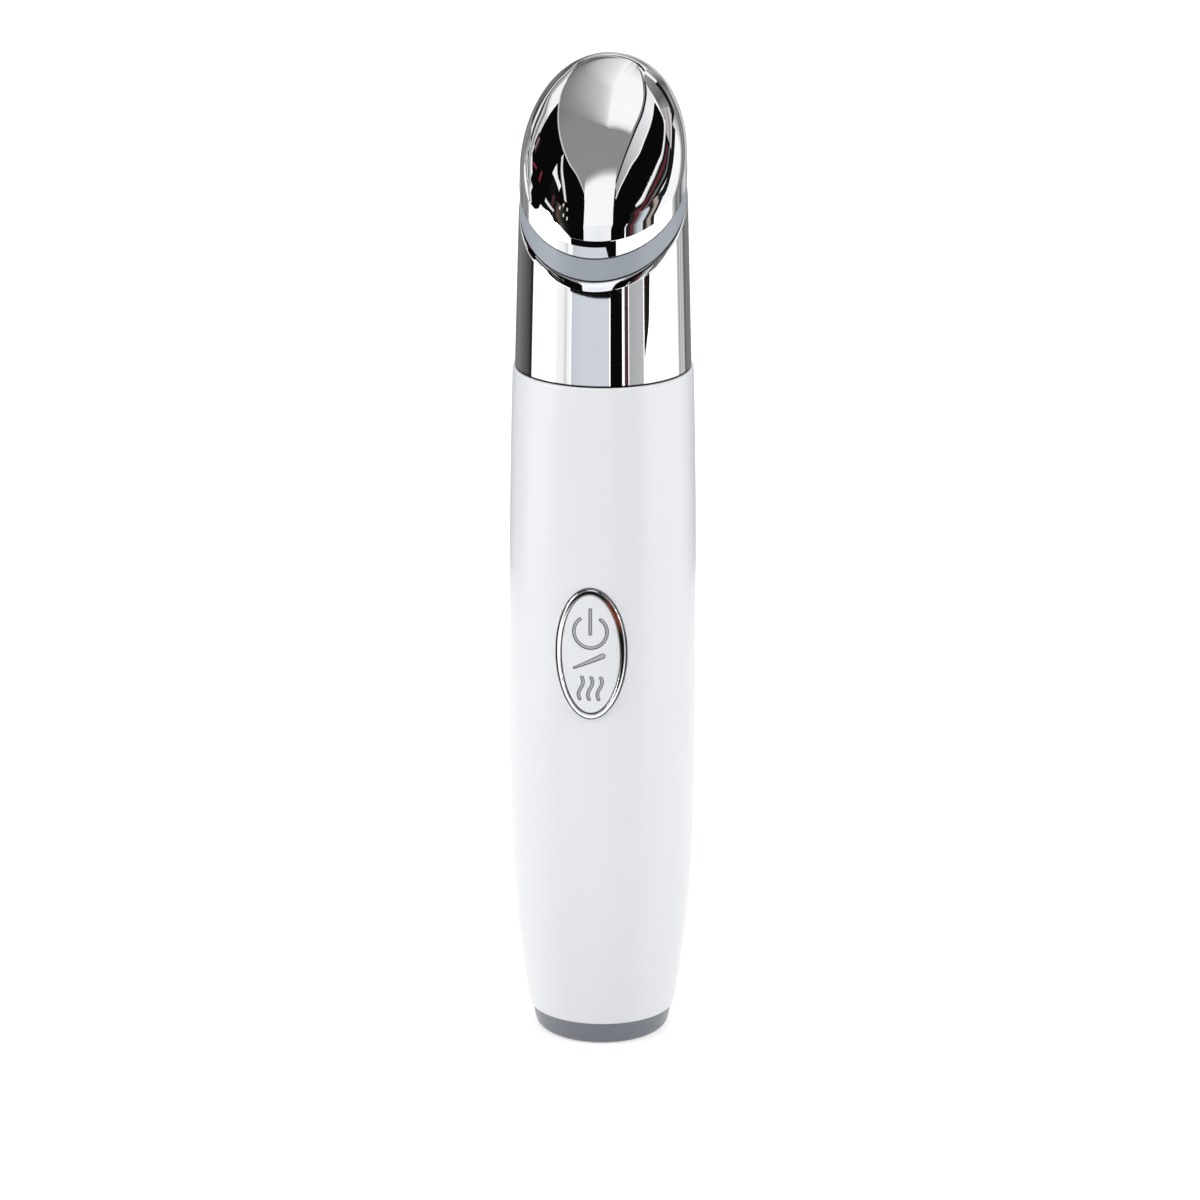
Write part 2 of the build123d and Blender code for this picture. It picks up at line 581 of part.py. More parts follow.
def inner_frame():
    """Tray with battery saddles, a motor cup, board rails and screw bosses."""
    reach = FRAME_RADIUS + 1
    low = FRAME_BOTTOM - 1
    high = FRAME_TOP + 1
    rail_in = BOARD_WIDTH / 2 + FIT
    rail_out = rail_in + RAIL
    frame = upright(FRAME_RADIUS, FRAME_BOTTOM, FRAME_TOP)
    frame -= block(-reach, reach, -reach, -BOARD_FACE, low, high)
    frame -= block(-rail_in, rail_in, -reach, -BOARD_BACK, low, high)
    for side in (-1, 1):
        beside = sorted((side * rail_out, side * reach))
        frame -= block(*beside, -reach, -FRAME_FRONT - RAIL, low, high)
    for floor, roof in frame_bays():
        frame -= tray_bay(floor, roof)
    frame -= battery_bay()
    frame -= upright(SLEEVE_RADIUS + SNUG, MOTOR_BOTTOM, FRAME_TOP - PLATE, y=MOTOR_BACK)
    boss_low = FRAME_TOP - HEAD_SCREW_LENGTH
    plate_low = FRAME_BOTTOM - 1
    plate_high = FRAME_BOTTOM + PLATE + 1
    for side in (-1, 1):
        boss = {"x": side * HEAD_SCREW_SIDE, "y": HEAD_SCREW_BACK}
        charge = {"x": side * CHARGE_LEAD_SIDE, "y": -HEAD_LEAD_FRONT}
        motor = {"x": side * MOTOR_LEAD_SIDE, "y": MOTOR_BACK}
        frame += upright(HEAD_SCREW_RADIUS + SCREW_BOSS_WALL, boss_low, FRAME_TOP, **boss)
        frame -= upright(HEAD_SCREW_RADIUS, boss_low - 1, FRAME_TOP + 1, **boss)
        frame -= upright(WIRE_HOLE_RADIUS, plate_low, plate_high, **charge)
        frame -= upright(WIRE_HOLE_RADIUS, MOTOR_PLATE - 1, MOTOR_BOTTOM + 1, **motor)
    frame -= lead_slot(FRAME_TOP - PLATE - 1, FRAME_TOP + 1)
    for z in board_screw_heights():
        frame -= front_peg(BOARD_SCREW_RADIUS, BOARD_FACE - BOARD_SCREW_LENGTH - 1, BOARD_BACK + 1, z)
    return frame


# ---- Electronics ------------------------------------------------------------------------------
def board_screw_heights():
    return FRAME_BOTTOM + PLATE / 2, MOTOR_PLATE + PLATE / 2


def main_board():
    """Long circuit board in the frame's rails."""
    half = BOARD_WIDTH / 2
    board = block(-half, half, -BOARD_FACE, -BOARD_BACK, BOARD_BOTTOM, BOARD_TOP)
    for z in board_screw_heights():
        board -= front_peg(BOARD_SCREW_RADIUS + FIT, 0, BOARD_FACE + 1, z)
    return board


def board_part(width, height, thickness, x, z):
    """Flat component soldered to the front of the main board."""
    part = block(-width / 2, width / 2, -BOARD_FACE - thickness, -BOARD_FACE, -height / 2, height / 2)
    return Pos(x, 0, z) * part


def capacitors():
    """Four small chip capacitors beside the control chip."""
    middle = control_chip_height()
    side = CHIP_SIZE / 2 + CAPACITOR_GAP + CAPACITOR_WIDTH / 2
    half = CHIP_SIZE / 2
    size = (CAPACITOR_WIDTH, CAPACITOR_HEIGHT, CAPACITOR_THICKNESS)
    places = [(x, middle + rise) for x in (-side, side) for rise in (-half, half)]
    return Compound([board_part(*size, x, z) for x, z in places])


def control_chip_height():
    """Middle of the control chip, half way between the button and the board's lower end."""
    return (BUTTON_Z + BOARD_BOTTOM) / 2


def control_chip():
    return board_part(CHIP_SIZE, CHIP_SIZE, CHIP_THICKNESS, 0.0, control_chip_height())


def heater_transistor():
    """Power switch of the heater, beside the motor."""
    size = (TRANSISTOR_WIDTH, TRANSISTOR_HEIGHT, TRANSISTOR_THICKNESS)
    return board_part(*size, 0.0, (MOTOR_TOP + MOTOR_BOTTOM) / 2)


def tact_switch():
    """Switch body with a round well for its plunger."""
    body = board_part(SWITCH_SIZE, SWITCH_SIZE, SWITCH_HEIGHT, 0.0, BUTTON_Z)
    well = PLUNGER_SUNK + KEY_TRAVEL + FIT
    return body - front_peg(PLUNGER_RADIUS + SNUG, SWITCH_FACE - well, SWITCH_FACE + 1, BUTTON_Z)


def switch_plunger():
    return front_peg(PLUNGER_RADIUS, SWITCH_FACE - PLUNGER_SUNK, PLUNGER_END, BUTTON_Z)


def charge_board_blank(growth):
    half = CHARGE_BOARD_WIDTH / 2 + growth
    back = USB_BACK_FACE + growth
    front = USB_BACK_FACE - CHARGE_BOARD_THICKNESS - growth
    return block(-half, half, front, back, CHARGE_BOARD_BOTTOM - growth, CHARGE_BOARD_TOP + growth)


def charge_board():
    return charge_board_blank(0.0)


def charge_chip():
    """Charging controller above the socket."""
    middle = (USB_RECESS + USB_LENGTH + CHARGE_BOARD_TOP) / 2
    half = CHARGE_CHIP_WIDTH / 2
    chip = block(-half, half, 0, CHARGE_CHIP_THICKNESS, -CHARGE_CHIP_HEIGHT / 2, CHARGE_CHIP_HEIGHT / 2)
    return Pos(0, USB_BACK_FACE, middle) * chip


def usb_bar(inset, low, high):
    """Rounded prism of the socket's outline."""
    outline = RectangleRounded(USB_WIDTH - 2 * inset, USB_HEIGHT - 2 * inset, USB_CORNER - inset)
    return Pos(0, 0, low) * extrude(outline, high - low)


def usb_shell():
    """Drawn steel shell of the charging socket, open downwards."""
    top = USB_RECESS + USB_LENGTH
    return usb_bar(0.0, USB_RECESS, top) - usb_bar(USB_WALL, USB_RECESS, top - USB_WALL)


def usb_tongue():
    """Contact tongue and its block inside the socket."""
    top = USB_RECESS + USB_LENGTH - USB_WALL
    half = USB_TONGUE_WIDTH / 2
    half_thick = USB_TONGUE_THICKNESS / 2
    tongue = block(-half, half, -half_thick, half_thick, USB_RECESS + USB_TONGUE_SETBACK, top)
    return tongue + usb_bar(USB_WALL + SNUG / 2, top - USB_BLOCK, top)


def battery_cell():
    """Round cell with its narrower positive cap."""
    shoulder = BATTERY_TOP - CELL_CAP_HEIGHT
    can = upright(BATTERY_RADIUS, BATTERY_BOTTOM, shoulder, y=BATTERY_BACK)
    can = fillet(can.edges().group_by(Axis.Z)[0], CAN_ROUND)
    return can + upright(BATTERY_RADIUS - CELL_CAP_INSET, shoulder, BATTERY_TOP, y=BATTERY_BACK)


def battery_pad():
    return upright(BATTERY_RADIUS - CAN_ROUND, FRAME_BOTTOM + PLATE, BATTERY_BOTTOM, y=BATTERY_BACK)


def battery_leads():
    rise = BATTERY_TOP + LEAD_RISE
    route = ((BATTERY_BACK, BATTERY_TOP), (BATTERY_BACK, rise), (-BOARD_BACK, rise))
    return lead_pair(BATTERY_LEAD_SIDE, route, [LEAD_BEND])


def motor_leads():
    fall = MOTOR_PLATE - LEAD_FALL
    route = ((MOTOR_BACK, MOTOR_BOTTOM), (MOTOR_BACK, fall), (-BOARD_BACK, fall))
    return lead_pair(MOTOR_LEAD_SIDE, route, [LEAD_BEND])


def charge_leads():
    """Pair from the charging board up through the frame's floor to the main board."""
    low = CHARGE_BOARD_TOP - LEAD_FALL
    high = FRAME_BOTTOM + PLATE + LEAD_RISE
    face = USB_BACK_FACE - CHARGE_BOARD_THICKNESS
    route = ((face, low), (-HEAD_LEAD_FRONT, low), (-HEAD_LEAD_FRONT, high), (-BOARD_BACK, high))
    return lead_pair(CHARGE_LEAD_SIDE, route, [2.5 * WIRE_RADIUS, 2 * WIRE_RADIUS])


# ---- Motor and fasteners ----------------------------------------------------------------------
def motor_can():
    can = upright(MOTOR_RADIUS, MOTOR_BOTTOM + MOTOR_CAP, MOTOR_TOP, y=MOTOR_BACK)
    can = fillet(can.edges().group_by(Axis.Z)[-1], CAN_ROUND)
    return can - upright(SHAFT_RADIUS + SNUG, MOTOR_TOP - MOTOR_LENGTH, MOTOR_TOP + 1, y=MOTOR_BACK)


def motor_end_cap():
    return upright(MOTOR_RADIUS, MOTOR_BOTTOM, MOTOR_BOTTOM + MOTOR_CAP, y=MOTOR_BACK)


def motor_sleeve():
    """Rubber sleeve that holds the motor in the frame."""
    top = MOTOR_BOTTOM + SLEEVE_LENGTH
    sleeve = upright(SLEEVE_RADIUS, MOTOR_BOTTOM, top, y=MOTOR_BACK)
    return sleeve - upright(MOTOR_RADIUS, MOTOR_BOTTOM - 1, top + 1, y=MOTOR_BACK)


def motor_shaft():
    bottom = MOTOR_BOTTOM + MOTOR_CAP + SNUG
    return upright(SHAFT_RADIUS, bottom, MOTOR_TOP + SHAFT_PROUD, y=MOTOR_BACK)


def eccentric_weight():
    """Half-round weight on a hub, clamped to the shaft."""
    top = MOTOR_TOP + SHAFT_PROUD
    low = top - WEIGHT_LENGTH
    sector = upright(WEIGHT_RADIUS, low, top, y=MOTOR_BACK)
    sector -= block(-WEIGHT_RADIUS, WEIGHT_RADIUS, MOTOR_BACK - WEIGHT_RADIUS, MOTOR_BACK, low, top)
    weight = sector + upright(WEIGHT_HUB_RADIUS, low, top, y=MOTOR_BACK)
    return weight - upright(SHAFT_RADIUS, low - 1, top + 1, y=MOTOR_BACK)


def head_screws():
    """Two screws that pull the core onto the frame."""
    screws = []
    seat = CORE_BOTTOM + CORE_FLOOR
    tip = FRAME_TOP - HEAD_SCREW_LENGTH + SCREW_TIP_GAP
    for side in (-1, 1):
        place = {"x": side * HEAD_SCREW_SIDE, "y": HEAD_SCREW_BACK}
        head = upright(HEAD_SCREW_HEAD * HEAD_SCREW_RADIUS, seat, seat + HEAD_SCREW_RADIUS, **place)
        screws.append(head + upright(HEAD_SCREW_RADIUS - SNUG / 2, tip, seat, **place))
    return Compound(screws)


def board_screws():
    """Two screws that hold the main board on the frame."""
    screws = []
    for z in board_screw_heights():
        tip = BOARD_FACE - BOARD_SCREW_LENGTH
        screw = front_peg(BOARD_SCREW_RADIUS - SNUG / 2, tip, BOARD_FACE, z)
        screws.append(screw + front_peg(1.8 * BOARD_SCREW_RADIUS, BOARD_FACE, BOARD_FACE + 0.8, z))
    return Compound(screws)


PIECES = {
    "handle_shell": handle_shell,
    "tail_cap": tail_cap,
    "button_housing": button_housing,
    "button_ring": button_ring,
    "button_key": button_key,
    "head_collar": head_collar,
    "insulator_ring": insulator_ring,
    "massage_head": massage_head,
    "head_core": head_core,
    "head_seal": head_seal,
    "head_screws": head_screws,
    "heater_film": heater_film,
    "temperature_sensor": temperature_sensor,
    "heater_leads": heater_leads,
    "sensor_leads": sensor_leads,
    "inner_frame": inner_frame,
    "main_board": main_board,
    "board_screws": board_screws,
    "control_chip": control_chip,
    "heater_transistor": heater_transistor,
    "capacitors": capacitors,
    "tact_switch": tact_switch,
    "switch_plunger": switch_plunger,
    "charge_board": charge_board,
    "charge_chip": charge_chip,
    "usb_shell": usb_shell,
    "usb_tongue": usb_tongue,
    "battery_cell": battery_cell,
    "battery_pad": battery_pad,
    "battery_leads": battery_leads,
    "charge_leads": charge_leads,
    "motor_leads": motor_leads,
    "motor_can": motor_can,
    "motor_end_cap": motor_end_cap,
    "motor_sleeve": motor_sleeve,
    "motor_shaft": motor_shaft,
    "eccentric_weight": eccentric_weight,
}

os.makedirs("parts", exist_ok=True)
for name, make in PIECES.items():
    export_step(make(), f"parts/{name}.step")
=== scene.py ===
import bmesh
import bpy
import numpy as np
from math import acos, cos, hypot, pi, radians, sin, sqrt, tan
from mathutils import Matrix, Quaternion, Vector


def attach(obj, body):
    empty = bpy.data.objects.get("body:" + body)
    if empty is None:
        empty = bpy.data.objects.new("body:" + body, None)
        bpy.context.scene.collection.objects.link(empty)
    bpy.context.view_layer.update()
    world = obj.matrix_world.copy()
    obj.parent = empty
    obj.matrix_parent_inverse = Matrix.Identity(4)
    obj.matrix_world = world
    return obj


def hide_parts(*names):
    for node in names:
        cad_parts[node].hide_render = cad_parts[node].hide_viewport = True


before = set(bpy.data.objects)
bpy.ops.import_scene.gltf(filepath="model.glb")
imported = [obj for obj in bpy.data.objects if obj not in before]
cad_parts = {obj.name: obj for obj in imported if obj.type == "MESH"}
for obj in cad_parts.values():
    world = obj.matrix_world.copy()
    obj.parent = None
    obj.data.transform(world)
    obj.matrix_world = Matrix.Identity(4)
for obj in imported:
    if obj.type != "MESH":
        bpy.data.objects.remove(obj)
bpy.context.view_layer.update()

MM = 0.001
COLUMNS = 360

# ---- The wand's own sizes, in millimetres, as in the part's source ----
FOOT_RADIUS, CAP_RADIUS, CAP_TOP, FOOT_ROUND = 10.4, 11.3, 4.0, 1.7
SPIGOT_RADIUS, SPIGOT_TOP, CUP_BORE, CUP_FLOOR = 9.6, 9.5, 8.3, 2.0
BEAD_RADIUS, BEAD_LOW, BEAD_FULL = 9.9, 8.3, 8.5
POST_NEAR, POST_FAR, POST_BITE, POST_LOW, POST_TOP = 6.2, 8.4, 7.05, 1.9, 20.4
POST_FRONT, POST_BACK, BITE_FRONT, BITE_BACK = -3.83, -0.43, -2.68, -1.58
SOCKET_X, SOCKET_Y, SOCKET_CORNER = 4.57, 1.73, 1.6
SHELL_TOP = 110.5
STATIONS = (
    (4.0, 11.6), (20.0, 13.75), (36.0, 14.58), (49.0, 14.7415),
    (62.0, 14.7494), (76.0, 14.7374), (90.0, 14.6261), (110.5, 14.2),
)
END_SLOPES = (0.16, -0.027)
WALL = 1.9
NECK_RADIUS, DRAFT = 13.85, radians(1.5)
TILT = radians(36.5)
RING_LOW = 137.2
RING_HIGH = RING_LOW + 2.8 / cos(TILT)
DOME_LONG, DOME_CROSS, DOME_ROUND = 34.0, 16.0, 3.7
HEAD_FRONT, HEAD_BACK, HEAD_WALL = 2.7, 9.0, 1.6
BUTTON_Z, BUTTON_A, BUTTON_B, BAND = 67.5, 5.65, 10.75, 0.85
RING_PROUD, SEAT = 0.55, 12.85
KEY_GAP, KEY_RIM, KEY_PROUD, KEY_UNDERSIDE, KEY_WALL, KEY_SKIN = 0.12, 0.3, 0.3, 12.45, 1.0, 1.2
STEM_RADIUS, STEM_START, STEM_END, STEM_BEAD, BEAD_START = 1.8, 13.8, 10.76, 2.1, 11.16


# ---- Mesh building ----
def add_object(name, data):
    made = bpy.data.objects.new(name, data)
    bpy.context.scene.collection.objects.link(made)
    return made


def keep_values(piece, name, values):
    """Keeps one number per vertex on a mesh, for its material."""
    layer = piece.data.attributes.new(name, "FLOAT", "POINT")
    layer.data.foreach_set("value", np.ravel(values).astype(np.float32))


def grid_faces(index):
    """Four-sided faces of a grid of vertex numbers."""
    corners = index[:-1, :-1], index[:-1, 1:], index[1:, 1:], index[1:, :-1]
    return np.stack([c.ravel() for c in corners], -1).tolist()


def xyz(x, y, z):
    return np.stack([x, y, z], -1)


class Skin:
    """Vertices, faces and known normals of one piece, in millimetres."""

    def __init__(self):
        self.points = []
        self.normals = []
        self.faces = []

    def loop(self, points, normals=None):
        start = len(self.points)
        self.points += [tuple(p) for p in points]
        self.normals += [None] * len(points) if normals is None else [tuple(n) for n in normals]
        return list(range(start, len(self.points)))

    def band(self, a, b):
        n = len(a)
        for i in range(n):
            j = (i + 1) % n
            self.faces.append((a[i], a[j], b[j], b[i]))

    def sheet(self, loops):
        for a, b in zip(loops, loops[1:]):
            self.band(a, b)

    def fan(self, loop, centre, normal=None):
        tip = self.loop([centre], None if normal is None else [normal])[0]
        n = len(loop)
        for i in range(n):
            self.faces.append((loop[i], loop[(i + 1) % n], tip))

    def build(self, name, body, slot, *nodes):
        mesh = bpy.data.meshes.new(name)
        mesh.from_pydata([(x * MM, y * MM, z * MM) for x, y, z in self.points], [], self.faces)
        bm = bmesh.new()
        bm.from_mesh(mesh)
        bmesh.ops.recalc_face_normals(bm, faces=bm.faces)
        bm.to_mesh(mesh)
        bm.free()
        mesh.polygons.foreach_set("use_smooth", [True] * len(mesh.polygons))
        mesh.update()
        normals = np.zeros(len(mesh.vertices) * 3, np.float32)
        mesh.vertices.foreach_get("normal", normals)
        normals = normals.reshape(-1, 3)
        known = [i for i, n in enumerate(self.normals) if n is not None]
        if known:
            for i in known:
                normals[i] = self.normals[i]
            mesh.normals_split_custom_set_from_vertices(normals)
        piece = add_object(name, mesh)
        piece.data.materials.append(MATERIALS[slot])
        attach(piece, body)
        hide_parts(*nodes)
        return piece


THETA = np.linspace(0, 2 * pi, COLUMNS, endpoint=False)


def ring_points(radius, z):
    """Circle about the wand's axis; column 0 looks to the front."""
    return xyz(radius * np.sin(THETA), -radius * np.cos(THETA), z + 0 * THETA)


def rounded(points, radii, steps):
    """Outline in (radius, height) with its corners rounded."""
    out = []
    for i, (p, r) in enumerate(zip(points, radii)):
        p = np.array(p, float)
        if not r:
            out.append(tuple(p))
            continue
        a = np.array(points[i - 1], float) - p
        b = np.array(points[(i + 1) % len(points)], float) - p
        a /= np.linalg.norm(a)
        b /= np.linalg.norm(b)
        half = acos(max(-1, min(1, float(a @ b)))) / 2
        reach = r / tan(half)
        middle = p + (a + b) / np.linalg.norm(a + b) * r / sin(half)
        u = p + a * reach - middle
        v = p + b * reach - middle
        sweep = acos(max(-1, min(1, float(u @ v) / r / r)))
        lead = reach + 0.12 * r
        out.append(tuple(p + a * lead))
        for k in range(steps + 1):
            t = k / steps
            w = (sin((1 - t) * sweep) * u + sin(t * sweep) * v) / sin(sweep)
            out.append(tuple(middle + w))
        out.append(tuple(p + b * lead))
    return out


def unit(v):
    return v / np.linalg.norm(v, axis=1)[:, None]


def turned(n1, n2, t):
    """Normals that are a share t of the way from n1 to n2."""
    angle = np.arccos(np.clip((n1 * n2).sum(-1), -1, 1))[:, None]
    return (np.sin((1 - t) * angle) * n1 + np.sin(t * angle) * n2) / np.sin(angle)


def rolled(skin, centre, n1, n2, radius, steps, look=None):
    """Rolling-ball round along centres, from n1 to n2; look eases its normals into a side."""
    loops = []
    for k in range(steps + 1):
        t = k / steps
        n = turned(n1, n2, t)
        seen = n if look is None else unit(look * (1 - t) + n2 * t)
        loops.append(skin.loop(centre + radius * n, seen))
    return loops


# ---- Barrel ----
def barrel_table():
    """Second derivatives of the clamped cubic curve through the barrel's stations."""
    z = np.array([s[0] for s in STATIONS])
    r = np.array([s[1] for s in STATIONS])
    n = len(z)
    h = np.diff(z)
    a = np.zeros((n, n))
    b = np.zeros(n)
    a[0, 0], a[0, 1] = h[0] / 3, h[0] / 6
    b[0] = (r[1] - r[0]) / h[0] - END_SLOPES[0]
    a[-1, -1], a[-1, -2] = h[-1] / 3, h[-1] / 6
    b[-1] = END_SLOPES[1] - (r[-1] - r[-2]) / h[-1]
    for i in range(1, n - 1):
        a[i, i - 1], a[i, i], a[i, i + 1] = h[i - 1] / 6, (h[i - 1] + h[i]) / 3, h[i] / 6
        b[i] = (r[i + 1] - r[i]) / h[i] - (r[i] - r[i - 1]) / h[i - 1]
    return z, r, h, np.linalg.solve(a, b)


BARREL_Z, BARREL_R, BARREL_H, BARREL_M = barrel_table()


def barrel(z):
    """Radius of the handle at a height."""
    z = np.clip(np.asarray(z, float), BARREL_Z[0], BARREL_Z[-1])
    i = np.clip(np.searchsorted(BARREL_Z, z, side="right") - 1, 0, len(BARREL_H) - 1)
    h = BARREL_H[i]
    a = (BARREL_Z[i + 1] - z) / h
    b = (z - BARREL_Z[i]) / h
    bend = ((a ** 3 - a) * BARREL_M[i] + (b ** 3 - b) * BARREL_M[i + 1]) * h * h / 6
    return a * BARREL_R[i] + b * BARREL_R[i + 1] + bend


def bore(z):
    """Radius of the handle's inside at a height."""
    knots = STATIONS[0], STATIONS[1], STATIONS[-1]
    return np.interp(z, [k[0] for k in knots], [k[1] - WALL for k in knots])


def on_front(x, z, radius):
    """Depth of the round wall's front at a place."""
    return -np.sqrt(np.maximum(radius(z) ** 2 - x * x, 0.0))


def wall(skin, rows, radius, grow, shares):
    """Round wall with an oval front opening; gives its loops and the oval's loop and angles."""
    columns, half, rise = 240, 21, 14.0
    angles = np.linspace(0, 2 * pi, columns, endpoint=False)
    loops = []
    for z in rows:
        r = float(radius(z))
        loops.append(skin.loop([(r * sin(t), -r * cos(t), z) for t in angles]))
    low = min(range(len(rows)), key=lambda k: abs(rows[k] - (BUTTON_Z - rise)))
    high = min(range(len(rows)), key=lambda k: abs(rows[k] - (BUTTON_Z + rise)))
    for k in range(len(rows) - 1):
        for i in range(columns):
            j = (i + 1) % columns
            if half <= i < columns - half or not low <= k < high:
                skin.faces.append((loops[k][i], loops[k][j], loops[k + 1][j], loops[k + 1][i]))
    side = list(range(-half, half + 1))
    edge = [loops[low][i % columns] for i in side]
    edge += [loops[k][half] for k in range(low + 1, high)]
    edge += [loops[high][i % columns] for i in reversed(side)]
    edge += [loops[k][-half % columns] for k in range(high - 1, low, -1)]
    flat = np.array([(skin.points[v][0], skin.points[v][2] - BUTTON_Z) for v in edge])
    turn = np.arctan2(flat[:, 1] / BUTTON_B, flat[:, 0] / BUTTON_A)
    patch = [edge]
    oval = np.stack([(BUTTON_A + grow) * np.cos(turn), (BUTTON_B + grow) * np.sin(turn)], -1)
    for t in shares:
        p = flat * (1 - t) + oval * t
        x, z = p[:, 0], p[:, 1] + BUTTON_Z
        patch.append(skin.loop(xyz(x, on_front(x, z, radius), z)))
    skin.sheet(patch)
    return loops, patch[-1], turn


def handle_shell():
    """White barrel with rounded lips and the button's opening."""
    skin = Skin()
    lip, foot, hole_lip, hole_gap = 0.3, 0.15, 0.12, 0.05
    middle = [BUTTON_Z + k for k in range(-62, 43)] + [110.0]
    lower = [CAP_TOP + foot * (1 - cos(radians(a))) for a in (0, 30, 60, 90)]
    upper = [SHELL_TOP - lip * (1 - sin(radians(a))) for a in (0, 15, 30, 45, 60, 75, 90)]
    rows = lower + [CAP_TOP + 0.22, CAP_TOP + 0.5] + middle + [110.12] + upper

    def outside(z):
        r = barrel(z)
        top = np.maximum(np.asarray(z) - (SHELL_TOP - lip), 0.0)
        low = np.maximum(CAP_TOP + foot - np.asarray(z), 0.0)
        r = r - (lip - np.sqrt(np.maximum(lip * lip - top * top, 0.0)))
        return r - (foot - np.sqrt(np.maximum(foot * foot - low * low, 0.0)))

    shares = (0.3, 0.55, 0.75, 0.9, 0.97, 1.0)
    outer, hole, turn = wall(skin, rows, outside, hole_gap + hole_lip, shares)
    inner_rows = [CAP_TOP, CAP_TOP + 0.5] + middle + [SHELL_TOP]
    inner, inner_hole, _ = wall(skin, inner_rows, bore, hole_gap, (0.5, 1.0))
    edge = [hole]
    for a in (20, 45, 70, 90):
        grow = hole_gap + hole_lip * (1 - sin(radians(a)))
        x = (BUTTON_A + grow) * np.cos(turn)
        z = BUTTON_Z + (BUTTON_B + grow) * np.sin(turn)
        y = on_front(x, z, outside) + hole_lip * (1 - cos(radians(a)))
        edge.append(skin.loop(xyz(x, y, z)))
    skin.sheet(edge + [inner_hole])
    skin.band(outer[-1], inner[-1])
    skin.band(outer[0], inner[0])
    skin.build("shell_barrel", "wand", "shell_white", "handle_shell")


def slot_loop(grow, z):
    """Rounded outline of the charging opening, one point per column."""
    half_x, half_y, corner = SOCKET_X + grow, SOCKET_Y + grow, SOCKET_CORNER + grow
    points = []
    for t in THETA:
        dx, dy = sin(t), -cos(t)
        low, high = 0.0, 8.0
        for _ in range(40):
            s = (low + high) / 2
            qx = max(abs(dx * s) - (half_x - corner), 0)
            qy = max(abs(dy * s) - (half_y - corner), 0)
            far = hypot(qx, qy) - corner
            low, high = (s, high) if far < 0 else (low, s)
        points.append((dx * low, dy * low, z))
    return points


def tail_cap():
    """Grey cap with a rounded foot, its spigot, the socket opening and the two board posts."""
    skin = Skin()
    outline = [(FOOT_RADIUS - 3.0, 0.0), (FOOT_RADIUS, 0.0), (CAP_RADIUS, CAP_TOP)]
    outline += [(SPIGOT_RADIUS, CAP_TOP), (SPIGOT_RADIUS, BEAD_LOW), (BEAD_RADIUS, BEAD_FULL)]
    outline += [(BEAD_RADIUS, SPIGOT_TOP), (CUP_BORE, SPIGOT_TOP), (CUP_BORE, CUP_FLOOR)]
    outline.append((CUP_BORE - 1.8, CUP_FLOOR))
    radii = [0, FOOT_ROUND, 0.15, 0.05, 0, 0, 0.1, 0.1, 0.1, 0]
    loops = [skin.loop(ring_points(r, z)) for r, z in rounded(outline, radii, 10)]
    lip = 0.2
    mouth = [slot_loop(lip + 0.1, 0.0), slot_loop(lip, 0.0)]
    for a in (25, 50, 70, 90):
        mouth.append(slot_loop(lip * (1 - sin(radians(a))), lip * (1 - cos(radians(a)))))
    mouth += [slot_loop(0.0, CUP_FLOOR / 2), slot_loop(0.0, CUP_FLOOR)]
    mouth = [skin.loop(p) for p in reversed(mouth)]
    skin.sheet([*loops, *mouth, loops[0]])
    for side in (-1, 1):
        near, far, bite = POST_NEAR * side, POST_FAR * side, POST_BITE * side
        outline = [(near, POST_FRONT), (far, POST_FRONT), (far, POST_BACK), (near, POST_BACK)]
        outline += [(near, BITE_BACK), (bite, BITE_BACK), (bite, BITE_FRONT), (near, BITE_FRONT)]
        low = skin.loop([(x, y, POST_LOW) for x, y in outline])
        high = skin.loop([(x, y, POST_TOP) for x, y in outline])
        skin.band(low, high)
        skin.faces += [tuple(low), tuple(high)]
    skin.build("tail_cup", "wand", "cap_grey", "tail_cap")


# ---- Button ----
def button_ring():
    """Narrow chrome band with rounded edges that follows the barrel."""
    skin = Skin()
    outer, inner = 0.3, 0.2
    profile = [(0.0, None), (0.0, outer + 0.05)]
    for a in range(0, 91, 10):
        profile.append((outer * (1 - cos(radians(a))), outer * (1 - sin(radians(a)))))
    profile += [(t, 0.0) for t in np.linspace(outer + 0.04, BAND - inner - 0.04, 12)]
    for a in range(0, 91, 15):
        profile.append((BAND - inner * (1 - sin(radians(a))), inner * (1 - cos(radians(a)))))
    profile.append((BAND, None))
    turn = np.linspace(0, 2 * pi, 240, endpoint=False)
    loops, shadow, warm = [], [], []
    # painted on it: shade and dark reflection below its outer rounding and at its right inside,
    # and a warm reflection at upper right
    side = np.clip(0.35 + 0.9 * np.cos(turn - 0.9), 0, 1)
    edge = 0.28 - 0.08 * np.cos(turn) - 0.19 * np.clip(np.sin(turn), 0, 1)
    for inset, drop in profile:
        outline = np.clip((edge - inset) / 0.08 + 0.5, 0, 1) * (drop is not None and drop < outer)
        inside = np.clip((0.3 * side - abs(inset - 0.68 * BAND)) / 0.1 + 0.5, 0, 1)
        inside *= np.clip(2.2 * side, 0, 1)
        shadow.append(np.maximum(outline, inside))
        warm.append(inside * np.clip(1.4 - np.abs(turn - 0.75) / 0.3, 0, 1))
        x = (BUTTON_A - inset) * np.cos(turn)
        z = BUTTON_Z + (BUTTON_B - inset) * np.sin(turn)
        crest = np.sqrt((barrel(z) + RING_PROUD) ** 2 - x * x)
        y = -(SEAT + 0 * x if drop is None else crest - drop)
        loops.append(skin.loop(xyz(x, y, z)))
    skin.sheet(loops + [loops[0]])
    piece = skin.build("button_trim", "wand", "trim_chrome", "button_ring")
    # the shadow values mark painted shade and painted dark reflection on the trim
    keep_values(piece, "shadow", shadow)
    keep_values(piece, "warm", warm)


